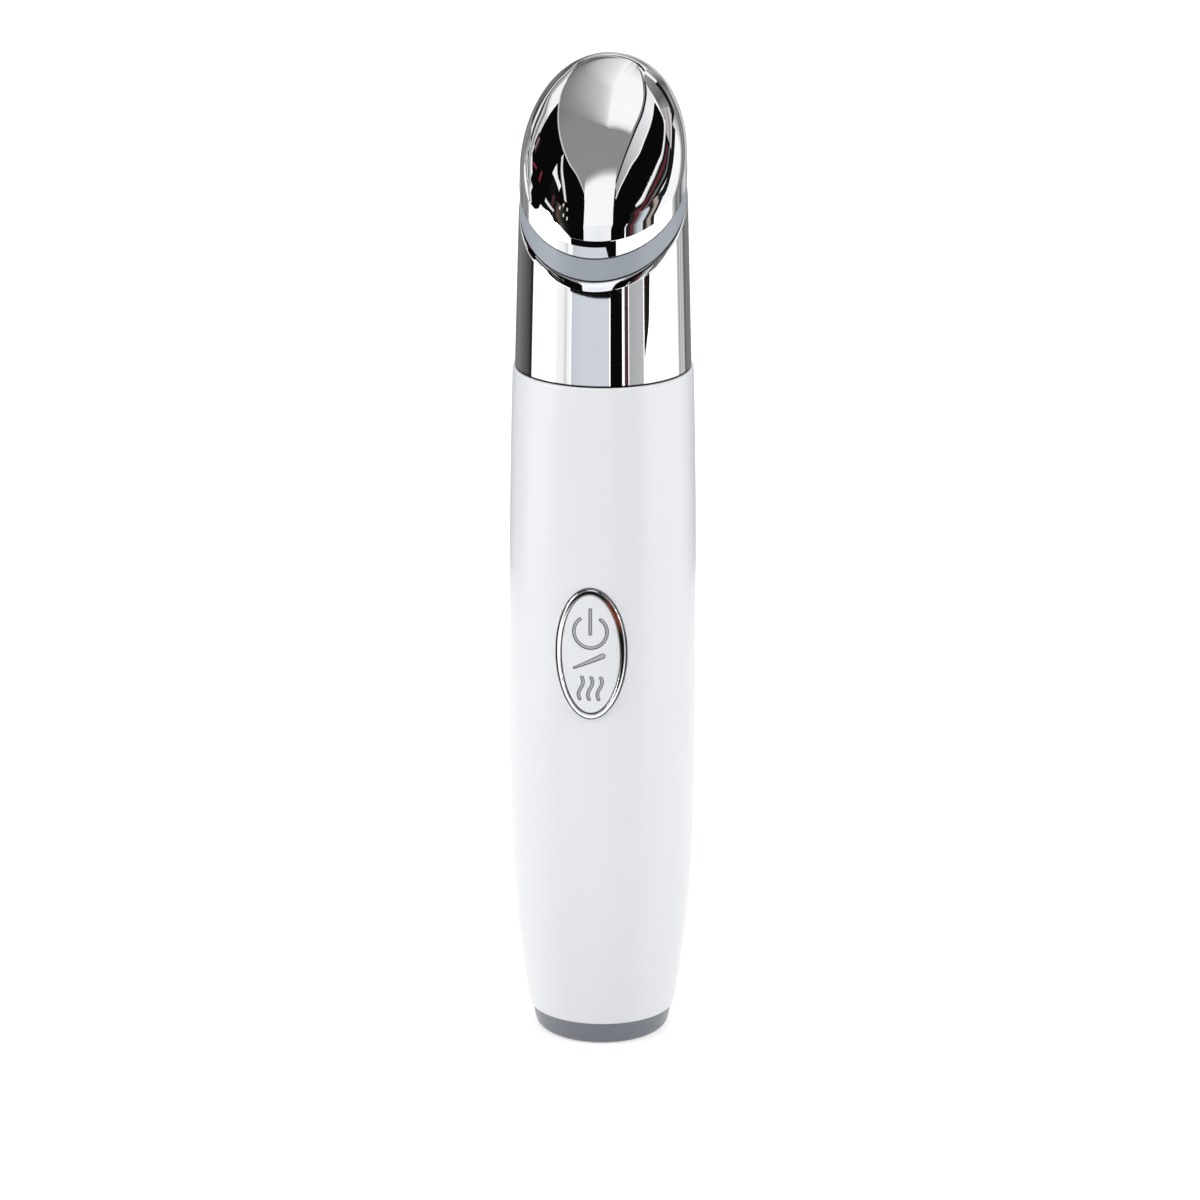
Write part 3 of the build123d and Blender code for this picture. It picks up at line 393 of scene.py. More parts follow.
def stroke(x, z, a, b, start, end):
    """Distance to a straight round-ended stroke whose half-width runs from start to end."""
    ax, az = a
    dx, dz = b[0] - ax, b[1] - az
    t = np.clip(((x - ax) * dx + (z - az) * dz) / (dx * dx + dz * dz), 0, 1)
    return np.hypot(x - ax - t * dx, z - az - t * dz) - (start + (end - start) * t)


FAR = 9.0  # farther than any sign reaches, in millimetres


def marks(x, z):
    """Signed distance, in millimetres, to the key's signs: power, a dividing stroke and warmth."""
    radius, gap, half, power_z = 2.62, radians(39), 0.29, 3.65
    pz = z - power_z
    arc = np.abs(np.hypot(x, pz) - radius) - half
    ends = np.hypot(np.abs(x) - radius * sin(gap), pz - radius * cos(gap)) - half
    power = np.where(np.abs(np.arctan2(x, pz)) > gap, arc, ends)
    power = np.minimum(power, stroke(x, pz, (0, -0.3), (0, 3.65), half, half))
    slash = stroke(x, z, (-2.6, -2.4), (1.95, -0.25), 0.2, 0.45)
    heat = np.full_like(x, FAR)
    heat_z, tall, swing, bends = -5.65, 1.75, 0.36, 2.6
    t = np.clip((z - heat_z) / tall, -1, 1)
    lean = np.sqrt(1 + (swing * bends / tall * np.cos(t * bends)) ** 2)
    over = np.maximum(np.abs(z - heat_z) - tall, 0)
    for middle in (-1.5, 0.0, 1.5):
        wave = middle + swing * np.sin(t * bends)
        heat = np.minimum(heat, np.hypot((x - wave) / lean, over) - half)
    return np.minimum(np.minimum(power, slash), heat)


def button_key():
    """Oval crowned key with engraved signs, a hollow back, and its stem."""
    skin = Skin()
    a, b, rim = BUTTON_A - BAND - KEY_GAP, BUTTON_B - BAND - KEY_GAP, KEY_RIM
    # a square grid, rounded to an oval, is fine enough for the signs
    u, v = np.meshgrid(np.linspace(-1, 1, 151), np.linspace(-1, 1, 301))
    x = u * np.sqrt(1 - v * v / 2) * (a - rim)
    z = v * np.sqrt(1 - u * u / 2) * (b - rim)
    distance = marks(x, z)
    engraved = 0.12
    depth = engraved * np.clip((0.02 - distance) / engraved, 0, 1)
    y = -(np.sqrt((barrel(z + BUTTON_Z) + KEY_PROUD) ** 2 - x * x) - depth)
    grid = np.array(skin.loop(xyz(x.ravel(), y.ravel(), z.ravel() + BUTTON_Z))).reshape(x.shape)
    skin.faces += grid_faces(grid)
    edge = [*grid[0, :], *grid[1:, -1], *grid[-1, -2::-1], *grid[-2:0:-1, 0]]
    edge = [int(k) for k in edge]
    flat = np.array([(skin.points[k][0], skin.points[k][2] - BUTTON_Z) for k in edge])
    turn = np.arctan2(flat[:, 1] / (b - rim), flat[:, 0] / (a - rim))

    def oval(inset, drop):
        px = (a - inset) * np.cos(turn)
        pz = BUTTON_Z + (b - inset) * np.sin(turn)
        top = np.sqrt((barrel(pz) + KEY_PROUD) ** 2 - px * px)
        py = -(KEY_UNDERSIDE + 0 * px if drop is None else top - drop)
        return skin.loop(xyz(px, py, pz))

    loops = [edge]
    for t in range(10, 91, 10):
        loops.append(oval(rim * (1 - sin(radians(t))), rim * (1 - cos(radians(t)))))
    loops += [oval(0.0, None), oval(KEY_WALL, None), oval(KEY_WALL, KEY_SKIN)]
    skin.sheet(loops)
    skin.faces.append(tuple(loops[-1]))
    peg = []
    for r, reach in ((STEM_RADIUS, STEM_START), (STEM_RADIUS, BEAD_START),
                     (STEM_BEAD, BEAD_START), (STEM_BEAD, STEM_END)):
        peg.append(skin.loop([(r * cos(t), -reach, BUTTON_Z + r * sin(t)) for t in THETA[::6]]))
    skin.sheet(peg)
    skin.faces += [tuple(peg[0]), tuple(peg[-1])]
    piece = skin.build("key_cap", "button", "key_white", "button_key")
    values = np.full(len(skin.points), FAR)
    values[grid] = distance
    keep_values(piece, "mark", values)


# ---- Collar, ring and head ----
SIDE_N = xyz(cos(DRAFT) * np.sin(THETA), -cos(DRAFT) * np.cos(THETA), sin(DRAFT) + 0 * THETA)
RING_N = np.array([0.0, -sin(TILT), cos(TILT)]) + 0 * SIDE_N
FLAT_N = np.array([0.0, 0.0, 1.0]) + 0 * SIDE_N


def cone_points(z, inset):
    """Points of the tapered wall, one height per column."""
    return ring_points(NECK_RADIUS - inset - (z - SHELL_TOP) * tan(DRAFT), z)


def cut_height(z, tilt, inset):
    """Height at which the tapered wall meets a plane through z on the axis."""
    lean = -np.cos(THETA) * tan(tilt)
    return (z + lean * (NECK_RADIUS - inset + SHELL_TOP * tan(DRAFT))) / (1 + lean * tan(DRAFT))


def cut_edge(skin, z, tilt, inset, radius, way, outward):
    """Small round where the wall meets a cut; way is +1 for an upper cut, outward -1 inside."""
    inside = inset + outward * radius / cos(DRAFT)
    centre = cone_points(cut_height(z - way * radius / cos(tilt), tilt, inside), inside)
    plane = way * (RING_N if tilt else FLAT_N)
    side = outward * SIDE_N
    n1, n2 = (side, plane) if way * outward > 0 else (plane, side)
    return rolled(skin, centre, n1, n2, radius, 4)


def soft_lip(skin, z, tilt):
    """Flattened round along an oblique rim, tall in front and small behind."""
    front = (1 + np.cos(THETA)) / 2
    tall, deep, steps = 0.4 + 0.45 * front + 0.4 * front ** 4, 0.5, 18
    loops = []
    for k in range(steps + 1):
        t = k / steps
        inset = deep * (1 - cos(t * pi / 2))
        drop = tall * (1 - sin(t * pi / 2))
        points = cone_points(cut_height(z - drop / cos(tilt), tilt, inset), inset)
        loops.append(skin.loop(points, turned(SIDE_N, RING_N, t)))
    return loops


def tube(name, slot, node, low, high, outer, inner, round_edge, lip):
    """Tapered tube between two cuts, each given as (height on the axis, tilt)."""
    skin = Skin()
    loops = cut_edge(skin, *low, outer, round_edge, -1, 1)
    loops += cut_edge(skin, *high, outer, lip, 1, 1) if lip else soft_lip(skin, *high)
    loops += cut_edge(skin, *high, inner, round_edge, 1, -1)
    loops += cut_edge(skin, *low, inner, round_edge, -1, -1)
    skin.sheet(loops + [loops[0]])
    skin.build(name, "wand", slot, node)


DOME_FRONT = np.array([-NECK_RADIUS, RING_HIGH - NECK_RADIUS * tan(TILT) + HEAD_FRONT])
DOME_BACK = np.array([NECK_RADIUS, RING_HIGH + NECK_RADIUS * tan(TILT) + HEAD_BACK])
CHORD = float(np.linalg.norm(DOME_BACK - DOME_FRONT))
ALONG = (DOME_BACK - DOME_FRONT) / CHORD
DOME_N = np.array([-ALONG[1], ALONG[0]])
DOME_C = (DOME_FRONT + DOME_BACK) / 2 - DOME_N * sqrt(DOME_LONG ** 2 - CHORD ** 2 / 4)


def dome_gap(p, inset):
    """Distance of points above the dome's face."""
    g = np.hypot(p[:, 1] - DOME_C[0], p[:, 2] - DOME_C[1])
    return np.hypot(g - (DOME_LONG - DOME_CROSS), p[:, 0]) - (DOME_CROSS - inset)


def dome_normals(p):
    dy, dz = p[:, 1] - DOME_C[0], p[:, 2] - DOME_C[1]
    g = np.hypot(dy, dz)
    q = g - (DOME_LONG - DOME_CROSS)
    d = np.hypot(q, p[:, 0])
    return xyz(p[:, 0] / d, q / d * dy / g, q / d * dz / g)


# how far the head's side seems to lean up, in degrees, by the share of its height
SIDE_LOOK = ((0.06, 0.0), (0.3, 0.1), (0.42, 0.3), (0.5, 0.8), (0.6, 1.6), (0.7, 2.4), (0.85, 3.6))
RIM_LOOK = 4.8


def leaning(degrees):
    """The side's normals, tipped to look up by an angle."""
    rise = np.sin(np.radians(degrees + 0 * THETA)) - sin(DRAFT)
    return unit(SIDE_N + np.array([0, 0, 1]) * rise[:, None])


def head_loops(skin, inset, low_loops, rings, way):
    """Side, rolling-ball rim and domed face, up to the crown; way is +1 outside and -1 inside."""
    radius = DOME_ROUND - inset
    low = np.full(COLUMNS, DOME_C[1])
    high = low + 50
    for _ in range(50):  # halves the range of heights until the ball touches the dome
        z = (low + high) / 2
        p = cone_points(z, inset + radius / cos(DRAFT))
        over = dome_gap(p, inset) + radius > 0
        low, high = np.where(over, low, z), np.where(over, z, high)
    n2 = dome_normals(p)
    loops, look = list(low_loops), SIDE_N
    if way > 0:
        foot, top = cut_height(RING_HIGH, TILT, 0.0), (p + radius * SIDE_N)[:, 2]
        # the side looks level over a strip in front, and elsewhere leans as the collar does
        turn = (np.degrees(THETA) + 189) % 360 - 180
        flat = 1.5 - 1.5 / (1 + (turn / 21) ** 8)
        for share, lean in SIDE_LOOK:
            points = cone_points(foot + (top - foot) * share, 0.0)
            loops.append(skin.loop(points, leaning(np.maximum(lean, flat))))
        look = leaning(RIM_LOOK)
    loops += rolled(skin, p, SIDE_N, n2, radius, 20, look)
    rim = p + radius * n2
    crown = np.array([0.0, *(DOME_C + DOME_N * (DOME_LONG - inset))])
    for k in range(1, rings):
        t = k / rings
        q = rim * (1 - t) + crown * t
        for _ in range(4):
            n = dome_normals(q)
            q = q - dome_gap(q, inset)[:, None] * n
        loops.append(skin.loop(q, n))
    skin.sheet(loops)
    top = np.array([0.0, *DOME_N])
    skin.fan(loops[-1], crown, top)
    if way < 0:
        for v in [v for loop in loops for v in loop] + [len(skin.points) - 1]:
            skin.normals[v] = None
    return loops


def massage_head():
    """Hollow chrome head with its domed face."""
    skin = Skin()
    foot = cut_edge(skin, RING_HIGH, TILT, 0.0, 0.12, -1, 1)
    outer = head_loops(skin, 0.0, foot, 64, 1)
    inside = cut_edge(skin, RING_HIGH, TILT, HEAD_WALL, 0.1, -1, -1)
    skin.sheet([outer[0], inside[-1]])
    inner = [skin.loop([skin.points[v] for v in inside[0]])]
    skin.band(inside[0], inner[0])
    skin.sheet(inside)
    head_loops(skin, HEAD_WALL, inner, 12, -1)
    skin.build("head_shell", "wand", "head_chrome", "massage_head")


# ---- Materials ----
class Tree:
    """Node tree of a material or a world."""

    def __init__(self, owner):
        owner.use_nodes = True
        self.nodes = owner.node_tree.nodes
        self.links = owner.node_tree.links

    def find(self, kind):
        return next(n for n in self.nodes if n.type == kind)

    def feed(self, node, inputs):
        """Gives each input a value or another node's output."""
        for key, value in inputs.items():
            socket = node.inputs[key]
            if isinstance(value, bpy.types.NodeSocket):
                self.links.new(value, socket)
            elif socket.type == "RGBA" and len(value) == 3:
                socket.default_value = (*value, 1)
            else:
                socket.default_value = value

    def add(self, kind, inputs=None, **settings):
        node = self.nodes.new("ShaderNode" + kind)
        for name, value in settings.items():
            setattr(node, name, value)
        self.feed(node, inputs or {})
        return node

    def math(self, operation, a, b):
        return self.add("Math", {0: a, 1: b}, operation=operation).outputs[0]

    def remap(self, value, low, high, out_low, out_high):
        names = ("Value", "From Min", "From Max", "To Min", "To Max")
        inputs = dict(zip(names, (value, low, high, out_low, out_high)))
        return self.add("MapRange", inputs).outputs["Result"]

    def attribute(self, name):
        return self.add("Attribute", attribute_name=name).outputs["Fac"]

    def seen_by(self, *rays):
        """1 for the given kinds of ray and 0 for the others."""
        path = self.add("LightPath")
        most = path.outputs[rays[0]]
        for ray in rays[1:]:
            most = self.math("MAXIMUM", most, path.outputs[ray])
        return most


class Paint(Tree):
    """Material of one slot, in object space, with lengths in metres."""

    def __init__(self, name, colour, rough, metal=0.0):
        self.slot = name
        self.material = bpy.data.materials.new("paint_" + name)
        super().__init__(self.material)
        self.shader = self.find("BSDF_PRINCIPLED")
        self.feed(self.shader, {"Base Color": colour, "Roughness": rough, "Metallic": metal})
        self.place = self.add("TexCoord").outputs["Object"]

    def mapped(self, **how):
        inputs = {"Vector": self.place, **{key.title(): v for key, v in how.items()}}
        return self.add("Mapping", inputs).outputs["Vector"]

    def noise(self, scale, detail=3.0, rough=0.5, stretch=None):
        place = self.mapped(scale=stretch) if stretch else self.place
        inputs = {"Scale": scale, "Detail": detail, "Roughness": rough, "Vector": place}
        return self.add("TexNoise", inputs).outputs["Fac"]

    def blend(self, factor, a, b):
        return self.add("Mix", {0: factor, 6: a, 7: b}, data_type="RGBA").outputs[2]

    def colour(self, value):
        self.feed(self.shader, {"Base Color": value})

    def rough(self, value):
        self.feed(self.shader, {"Roughness": value})

    def bump(self, height, distance):
        inputs = {"Strength": 1.0, "Distance": distance, "Height": height}
        self.feed(self.shader, {"Normal": self.add("Bump", inputs).outputs["Normal"]})

    def near_cut(self, z, tilt, width):
        """1 within a width, in millimetres, of the cut through z on the axis."""
        lean = (0, -sin(tilt), cos(tilt))
        along = self.add("VectorMath", {0: self.place, 1: lean}, operation="DOT_PRODUCT")
        away = self.math("SUBTRACT", along.outputs["Value"], z * cos(tilt) * MM)
        return self.remap(self.math("ABSOLUTE", away, 0), 0.6 * width * MM, width * MM, 1, 0)

    def shade(self, mask, tone):
        """Lays an even tone over the colour where the mask is 1."""
        base = self.shader.inputs["Base Color"].links[0].from_socket
        self.colour(self.blend(mask, base, tone if isinstance(tone, tuple) else (tone,) * 3))


def plastic(name, colour, shade, rough=0.32, coat=0.0, grain=0.000004):
    """Moulded plastic: slight colour drift, handling marks in the gloss and a fine grain."""
    paint = Paint(name, colour, rough)
    paint.colour(paint.blend(paint.remap(paint.noise(35, 1), 0.15, 0.85, 0, 1), colour, shade))
    paint.rough(paint.remap(paint.noise(60, 2), 0.15, 0.85, rough - 0.02, rough + 0.03))
    paint.bump(paint.noise(2600, 2), grain)
    paint.feed(paint.shader, {"Coat Weight": coat, "Coat Roughness": 0.12})
    return paint


def chrome(name, tint, rough):
    """Polished plating: faint haze from handling, hairlines and a slight waviness."""
    paint = Paint(name, tint, rough, 1.0)
    haze = paint.noise(90, 5, 0.6)
    lines = paint.noise(900, 2, 0.5, (1, 1, 0.06))
    gloss = paint.remap(haze, 0.45, 0.75, rough, rough + 0.016)
    fine = paint.remap(lines, 0.62, 0.75, 0, 0.012)
    paint.rough(paint.math("ADD", gloss, fine))
    dust = paint.remap(haze, 0.4, 0.8, 0, 1)
    paint.colour(paint.blend(dust, tint, tuple(c * 0.96 for c in tint)))
    paint.bump(paint.noise(160, 1), 0.0000015)
    return paint


def metal(name, colour, rough):
    """Drawn metal with fine lines along the wand."""
    paint = Paint(name, colour, rough, 1.0)
    lines = paint.noise(2200, 3, 0.6, (1, 1, 0.1))
    paint.rough(paint.remap(lines, 0.3, 0.7, rough - 0.08, rough + 0.1))
    paint.colour(paint.blend(paint.noise(200, 4), colour, tuple(c * 0.85 for c in colour)))
    paint.bump(lines, 0.000008)
    return paint


def wire(name, colour):
    """Soft insulation of a lead."""
    paint = Paint(name, colour, 0.42)
    paint.colour(paint.blend(paint.noise(600, 3), colour, tuple(c * 0.8 for c in colour)))
    paint.rough(paint.remap(paint.noise(900, 3), 0.3, 0.7, 0.34, 0.52))
    paint.bump(paint.noise(3000, 2), 0.00001)
    return paint


def circuit():
    """Green board: solder mask over a woven base, with copper runs showing through."""
    paint = Paint("circuit_board", (0.02, 0.16, 0.06), 0.3)
    runs = paint.add("TexBrick", {
        "Scale": 420, "Mortar Size": 0.035, "Color1": (0.012, 0.11, 0.045),
        "Color2": (0.016, 0.13, 0.05), "Mortar": (0.05, 0.28, 0.1),
        "Vector": paint.mapped(rotation=(radians(90), 0, 0)),
    })
    worn = paint.remap(paint.noise(300, 3), 0.4, 0.7, 0, 0.5)
    paint.colour(paint.blend(worn, runs.outputs["Color"], (0.03, 0.2, 0.08)))
    paint.rough(paint.remap(paint.noise(700, 3), 0.3, 0.7, 0.3, 0.42))
    paint.bump(runs.outputs["Fac"], 0.00002)
    return paint


def heater():
    """Amber film with a folded heating track."""
    paint = Paint("heater_amber", (0.5, 0.2, 0.03), 0.3)
    inputs = {"Scale": 220, "Distortion": 0.6, "Vector": paint.place}
    wave = paint.add("TexWave", inputs, wave_type="BANDS", bands_direction="X")
    track = paint.remap(wave.outputs["Fac"], 0.55, 0.65, 0, 1)
    paint.colour(paint.blend(track, (0.5, 0.2, 0.03), (0.5, 0.3, 0.12)))
    paint.rough(paint.remap(paint.noise(500, 3), 0.3, 0.7, 0.3, 0.42))
    paint.bump(track, 0.00003)
    return paint


def key_paint():
    """The key's plastic, with grey in the engraved signs and painted shade along their edges."""
    paint = plastic("key_white", (0.80, 0.818, 0.842), (0.78, 0.798, 0.822), 0.31, 0.25)
    sign = paint.attribute("mark")
    # near-black painted shade along the engraved edges of the signs; the grey below is the signs'
    # fill
    paint.shade(paint.remap(sign, -0.03, 0.03, 1, 0), (0.04, 0.043, 0.05))
    paint.shade(paint.remap(sign, -0.18, -0.11, 1, 0), (0.43, 0.445, 0.465))
    return paint


def painted_gap_shade():
    """Painted shadow lines in the gaps where the pieces meet, and the trim ring's painted shade
    and painted reflections.
    """
    paints = {p.slot: p for p in PAINTS}
    # each entry paints a near-black shadow line along the gap at one cut
    for slot, z, tilt, width, tone in (
        ("collar_chrome", SHELL_TOP, 0.0, 0.4, 0.01),
        ("collar_chrome", RING_LOW, TILT, 0.22, 0.01),
        ("ring_grey", RING_LOW, TILT, 0.14, 0.02),
        ("ring_grey", RING_HIGH, TILT, 0.1, 0.02),
        ("head_chrome", RING_HIGH, TILT, 0.24, 0.01),
    ):
        paints[slot].shade(paints[slot].near_cut(z, tilt, width), tone)
    trim = paints["trim_chrome"]
    # the trim's painted shade and dark reflection, then its painted warm reflection
    trim.shade(trim.attribute("shadow"), 0.008)
    trim.shade(trim.attribute("warm"), (0.2, 0.05, 0.02))


PAINTS = [
    plastic("shell_white", (0.80, 0.818, 0.842), (0.792, 0.81, 0.835), 0.31, 0.3),
    plastic("cap_grey", (0.18, 0.19, 0.22), (0.165, 0.175, 0.205), 0.33, 0.15),
    plastic("ring_grey", (0.33, 0.36, 0.405), (0.315, 0.345, 0.39), 0.34, 0.1),
    chrome("collar_chrome", (0.93, 0.94, 0.96), 0.014),
    chrome("head_chrome", (0.93, 0.94, 0.955), 0.012),
    chrome("trim_chrome", (0.9, 0.91, 0.93), 0.06),
    key_paint(),
    plastic("frame_plastic", (0.12, 0.12, 0.13), (0.1, 0.1, 0.11), 0.45),
    plastic("core_plastic", (0.7, 0.71, 0.72), (0.66, 0.67, 0.68), 0.45),
    circuit(),
    plastic("chip_black", (0.012, 0.012, 0.014), (0.02, 0.02, 0.022), 0.5, 0, 0.00001),
    plastic("capacitor_tan", (0.42, 0.3, 0.17), (0.36, 0.25, 0.14), 0.4),
    metal("steel", (0.62, 0.62, 0.63), 0.38),
    plastic("battery_wrap", (0.05, 0.2, 0.42), (0.04, 0.17, 0.37), 0.34, 0.3),
    plastic("foam_black", (0.02, 0.02, 0.021), (0.035, 0.035, 0.036), 0.9, 0, 0.0002),
    plastic("rubber_black", (0.018, 0.018, 0.02), (0.03, 0.03, 0.032), 0.65, 0, 0.00003),
    heater(),
    wire("wire_red", (0.5, 0.02, 0.015)),
    wire("wire_white", (0.62, 0.61, 0.58)),
]
MATERIALS = {p.slot: p.material for p in PAINTS}

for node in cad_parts.values():
    for place in node.material_slots:
        place.material = MATERIALS[place.material.name.split(".")[0]]

painted_gap_shade()

# ---- Pieces ----
handle_shell()
tail_cap()
button_ring()
button_key()
LOW_CUT, HIGH_CUT = (RING_LOW, TILT), (RING_HIGH, TILT)
tube("collar_tube", "collar_chrome", "head_collar", (SHELL_TOP, 0.0), LOW_CUT, 0.0, 0.9, 0.12, 0)
tube("ring_band", "ring_grey", "insulator_ring", LOW_CUT, HIGH_CUT, 0.12, 1.65, 0.08, 0.12)
massage_head()


# ---- Floor, reflected studio, lights and camera ----
def stage_mesh(name, points, faces, material):
    mesh = bpy.data.meshes.new(name)
    mesh.from_pydata(points, [], faces)
    mesh.materials.append(material)
    piece = add_object(name, mesh)
    return piece


def floor_paint():
    """Pale floor: it takes the shadow, and is lifted to the background's white for the camera."""
    material = bpy.data.materials.new("floor")
    tree = Tree(material)
    place = tree.add("TexCoord").outputs["Object"]
    grain = tree.add("TexNoise", {"Scale": 60, "Vector": place}).outputs["Fac"]
    lift = tree.math("MULTIPLY", tree.seen_by("Is Camera Ray", "Is Glossy Ray"), 0.6)
    tree.feed(tree.find("BSDF_PRINCIPLED"), {
        "Roughness": 0.8, "Base Color": tree.remap(grain, 0, 1, 0.63, 0.66),
        "Emission Color": (1, 1, 1), "Emission Strength": lift,
    })
    return material


def card_paint(name, stops):
    """Card of the studio: one tone, or a list of (place, tone) along its shade attribute."""
    if not isinstance(stops, list):
        stops = [(0, stops), (1, stops)]
    material = bpy.data.materials.new(name)
    tree = Tree(material)
    tree.nodes.clear()
    node = tree.add("ValToRGB", {"Fac": tree.attribute("shade")})
    ramp = node.color_ramp.elements
    ramp[0].position, ramp[1].position = stops[0][0], stops[-1][0]
    for spot, _ in stops[1:-1]:
        ramp.new(spot)
    for element, (_, tone) in zip(ramp, stops):
        tint = tone if isinstance(tone, tuple) else (tone, tone, tone)
        element.color = tint if len(tint) == 4 else (*tint, 1)
    clear = tree.add("BsdfTransparent").outputs[0]
    glow = tree.add("Emission", {"Color": node.outputs["Color"]}).outputs[0]
    cover = tree.add("MixShader", {0: node.outputs["Alpha"], 1: clear, 2: glow})
    tree.add("OutputMaterial", {"Surface": cover.outputs[0]})
    return material


def veil(cover, tone=(1, 1, 1)):
    """Tone that lets what is behind it through."""
    return (*tone, cover)


def smooth_line(points, count):
    """Even samples of a smooth curve through a few points."""
    p = np.array(points, float)
    p = np.concatenate([[2 * p[0] - p[1]], p, [2 * p[-1] - p[-2]]])
    out = []
    for s in np.linspace(0, len(points) - 1, count):
        i = min(int(s), len(points) - 2)
        t = s - i
        a, b, c, d = p[i:i + 4]
        bend = (2 * a - 5 * b + 4 * c - d) * t * t + (3 * b - a - 3 * c + d) * t ** 3
        out.append(0.5 * (2 * b + (c - a) * t + bend))
    return np.array(out)


def sheet_card(name, grid, stops, along):
    """Card from a grid of points, seen in reflections only; tones run along its rows or across."""
    rows, columns = grid.shape[:2]
    faces = grid_faces(np.arange(rows * columns).reshape(rows, columns))
    piece = stage_mesh(name, grid.reshape(-1, 3).tolist(), faces, card_paint(name, stops))
    shade = np.zeros((rows, columns))
    shade += np.linspace(0, 1, rows)[:, None] if along else np.linspace(0, 1, columns)
    keep_values(piece, "shade", shade)
    for ray in ("camera", "diffuse", "shadow", "transmission", "volume_scatter"):
        setattr(piece, "visible_" + ray, False)


def between(left, right, rows, columns):
    """Grid of places between two smooth lines."""
    a, b = smooth_line(left, rows), smooth_line(right, rows)
    t = np.linspace(0, 1, columns)[None, :, None]
    flat = a[:, None] * (1 - t) + b[:, None] * t
    return flat[..., 0], flat[..., 1]


EYE = np.array([0.0, 0.0, 0.145])


def canopy(name, left, right, stops, along=True, reach=0.3):
    """Overhead card between two lines of (right, front) places in degrees from the zenith."""
    x, y = between(left, right, 60, 12)
    far, turn = np.radians(np.hypot(x, y)), np.arctan2(x, y)
    aim = xyz(np.sin(far) * np.sin(turn), -np.sin(far) * np.cos(turn), np.cos(far))
    sheet_card(name, EYE + aim * reach, stops, along)


def pane(name, left, right, stops, reach=0.25, along=False):
    """Upright curved card between two lines of (azimuth in degrees, height in metres)."""
    azimuth, z = between(left, right, 24, 30)
    turn = np.radians(azimuth)
    sheet_card(name, xyz(reach * np.sin(turn), -reach * np.cos(turn), z), stops, along)


def standing(name, start, end, low, high, stops, reach=0.25):
    """Upright card between two azimuths and two heights."""
    pane(name, [(start, low), (start, high)], [(end, low), (end, high)], stops, reach)


def beside(line, shift):
    return [(x + shift, y) for x, y in line]


CORNERS = [(-3, -3, 0), (3, -3, 0), (3, 3, 0), (-3, 3, 0)]
stage_mesh("floor", CORNERS, [(0, 1, 2, 3)], floor_paint())

BLACK = 0.003
BLUISH, RED, DARK_RED = (0.66, 0.69, 0.74), (0.24, 0.025, 0.04), (0.09, 0.02, 0.03)
LEFT_EDGE = [(-21.2, 53.3), (-30, 40.8), (-38.3, 30), (-43.7, 18.3), (-46.3, 7.5), (-47, -1.7),
             (-46.3, -10), (-44.2, -18.3), (-41.3, -25), (-36.7, -30), (-30, -35), (-20, -37)]
RIGHT_EDGE = [(17, 47.5), (18.7, 43.3), (21.7, 33.3), (25, 21.7), (27.5, 10), (29, 0),
              (28.3, -8.3), (25.8, -16.7), (21.7, -22.5), (18.3, -27.5), (11.7, -31.3),
              (1.7, -33.3)]
WING_EDGE = [(20.8, 55.8), (23.3, 50), (28.3, 40.8), (32.5, 31.7), (37.5, 21.7), (39.2, 10),
             (39.7, 0), (38.3, -8.3), (35.3, -15.8)]
FLAG_EDGE = [(39, 56.7), (43.3, 50), (48.3, 41.7), (53.3, 28.3), (55.8, 15), (56.3, 1.7),
             (50.5, -11)]

# the ceiling, its white lamp and the frames beside it
canopy("ceiling", LEFT_EDGE, RIGHT_EDGE, [(0, 0.28), (0.4, 0.26), (0.55, 0.21), (0.8, 0.21),
        (1, 0.13)])
canopy("ceiling_rim", LEFT_EDGE[:-2], beside(LEFT_EDGE[:-2], 1.1), 0.62, reach=0.296)
canopy("softbox", [(1.3, 18), (1.2, 3), (1.2, -10), (3, -25), (7, -33)],
       [(24.5, 16), (27.5, 0), (26, -12), (18.5, -25), (11, -32)],
       [(0, veil(0.1)), (0.05, veil(0.85)), (0.1, 1.0), (0.65, 1.0), (0.8, veil(0.75)),
        (1, veil(0.2))], reach=0.295)
canopy("softbox_glow", [(-1, 17), (-17, 12), (-34, 0), (-43, -12), (-40, -24), (-31, -33)],
       [(1.5, 16.5), (1.3, 12), (1.3, 0), (1.3, -11), (5, -24), (9, -34)],
       [(0, veil(0)), (0.25, veil(0.12)), (0.5, veil(0.29)), (0.75, veil(0.46)), (0.9, veil(0.66)),
        (1, veil(0.95))], False, 0.298)
canopy("ceiling_light", [(0, -8), (-14, -15), (-22, -24), (-24, -33)],
       [(3, -8), (5, -15), (11, -24), (13, -33)], [(0, veil(0)), (0.5, veil(0.35)),
        (1, veil(0.6))], False, 0.2975)
canopy("ceiling_edge", RIGHT_EDGE[:9], beside(RIGHT_EDGE[:9], 1.5), BLACK, reach=0.29)
canopy("wing", RIGHT_EDGE[:9], [*WING_EDGE, (33, -18)],
       [(0, 0.3), (0.25, 0.45), (0.5, 0.7), (0.75, 0.9), (1, 0.85)])
canopy("wing_rim", beside(WING_EDGE, -1.1), WING_EDGE, 0.95, reach=0.292)
canopy("glow_low", [(-20, 45), (-21, 57)], [(17, 38.5), (17.5, 52)],
       [(0, veil(0)), (0.2, veil(0.25)), (0.45, veil(0.9)), (0.6, 1.0), (1, 1.0)], reach=0.293)
canopy("flag_right", WING_EDGE, [*FLAG_EDGE, (46, -14.5)], BLACK, reach=0.299)
canopy("flag_right_low", [(25, 88), (23.3, 80), (19, 65), (17.5, 50)],
       [(60, 62), (50, 58), (43, 54), (40, 50)], BLACK, reach=0.302)
canopy("streak_right", [(46, 48), (50.5, 40), (53.5, 30), (55.5, 20), (56.3, 10), (56.5, 2),
        (53, -7), (47.5, -15)], [(47.5, 48.5), (54, 40), (56.5, 30), (58.5, 20), (59, 10),
        (58.8, 2), (55.5, -6.5), (49, -16)], [(0, 0.9), (0.6, 0.95), (0.8, 0.6), (1, 0.4)], False,
       0.2985)
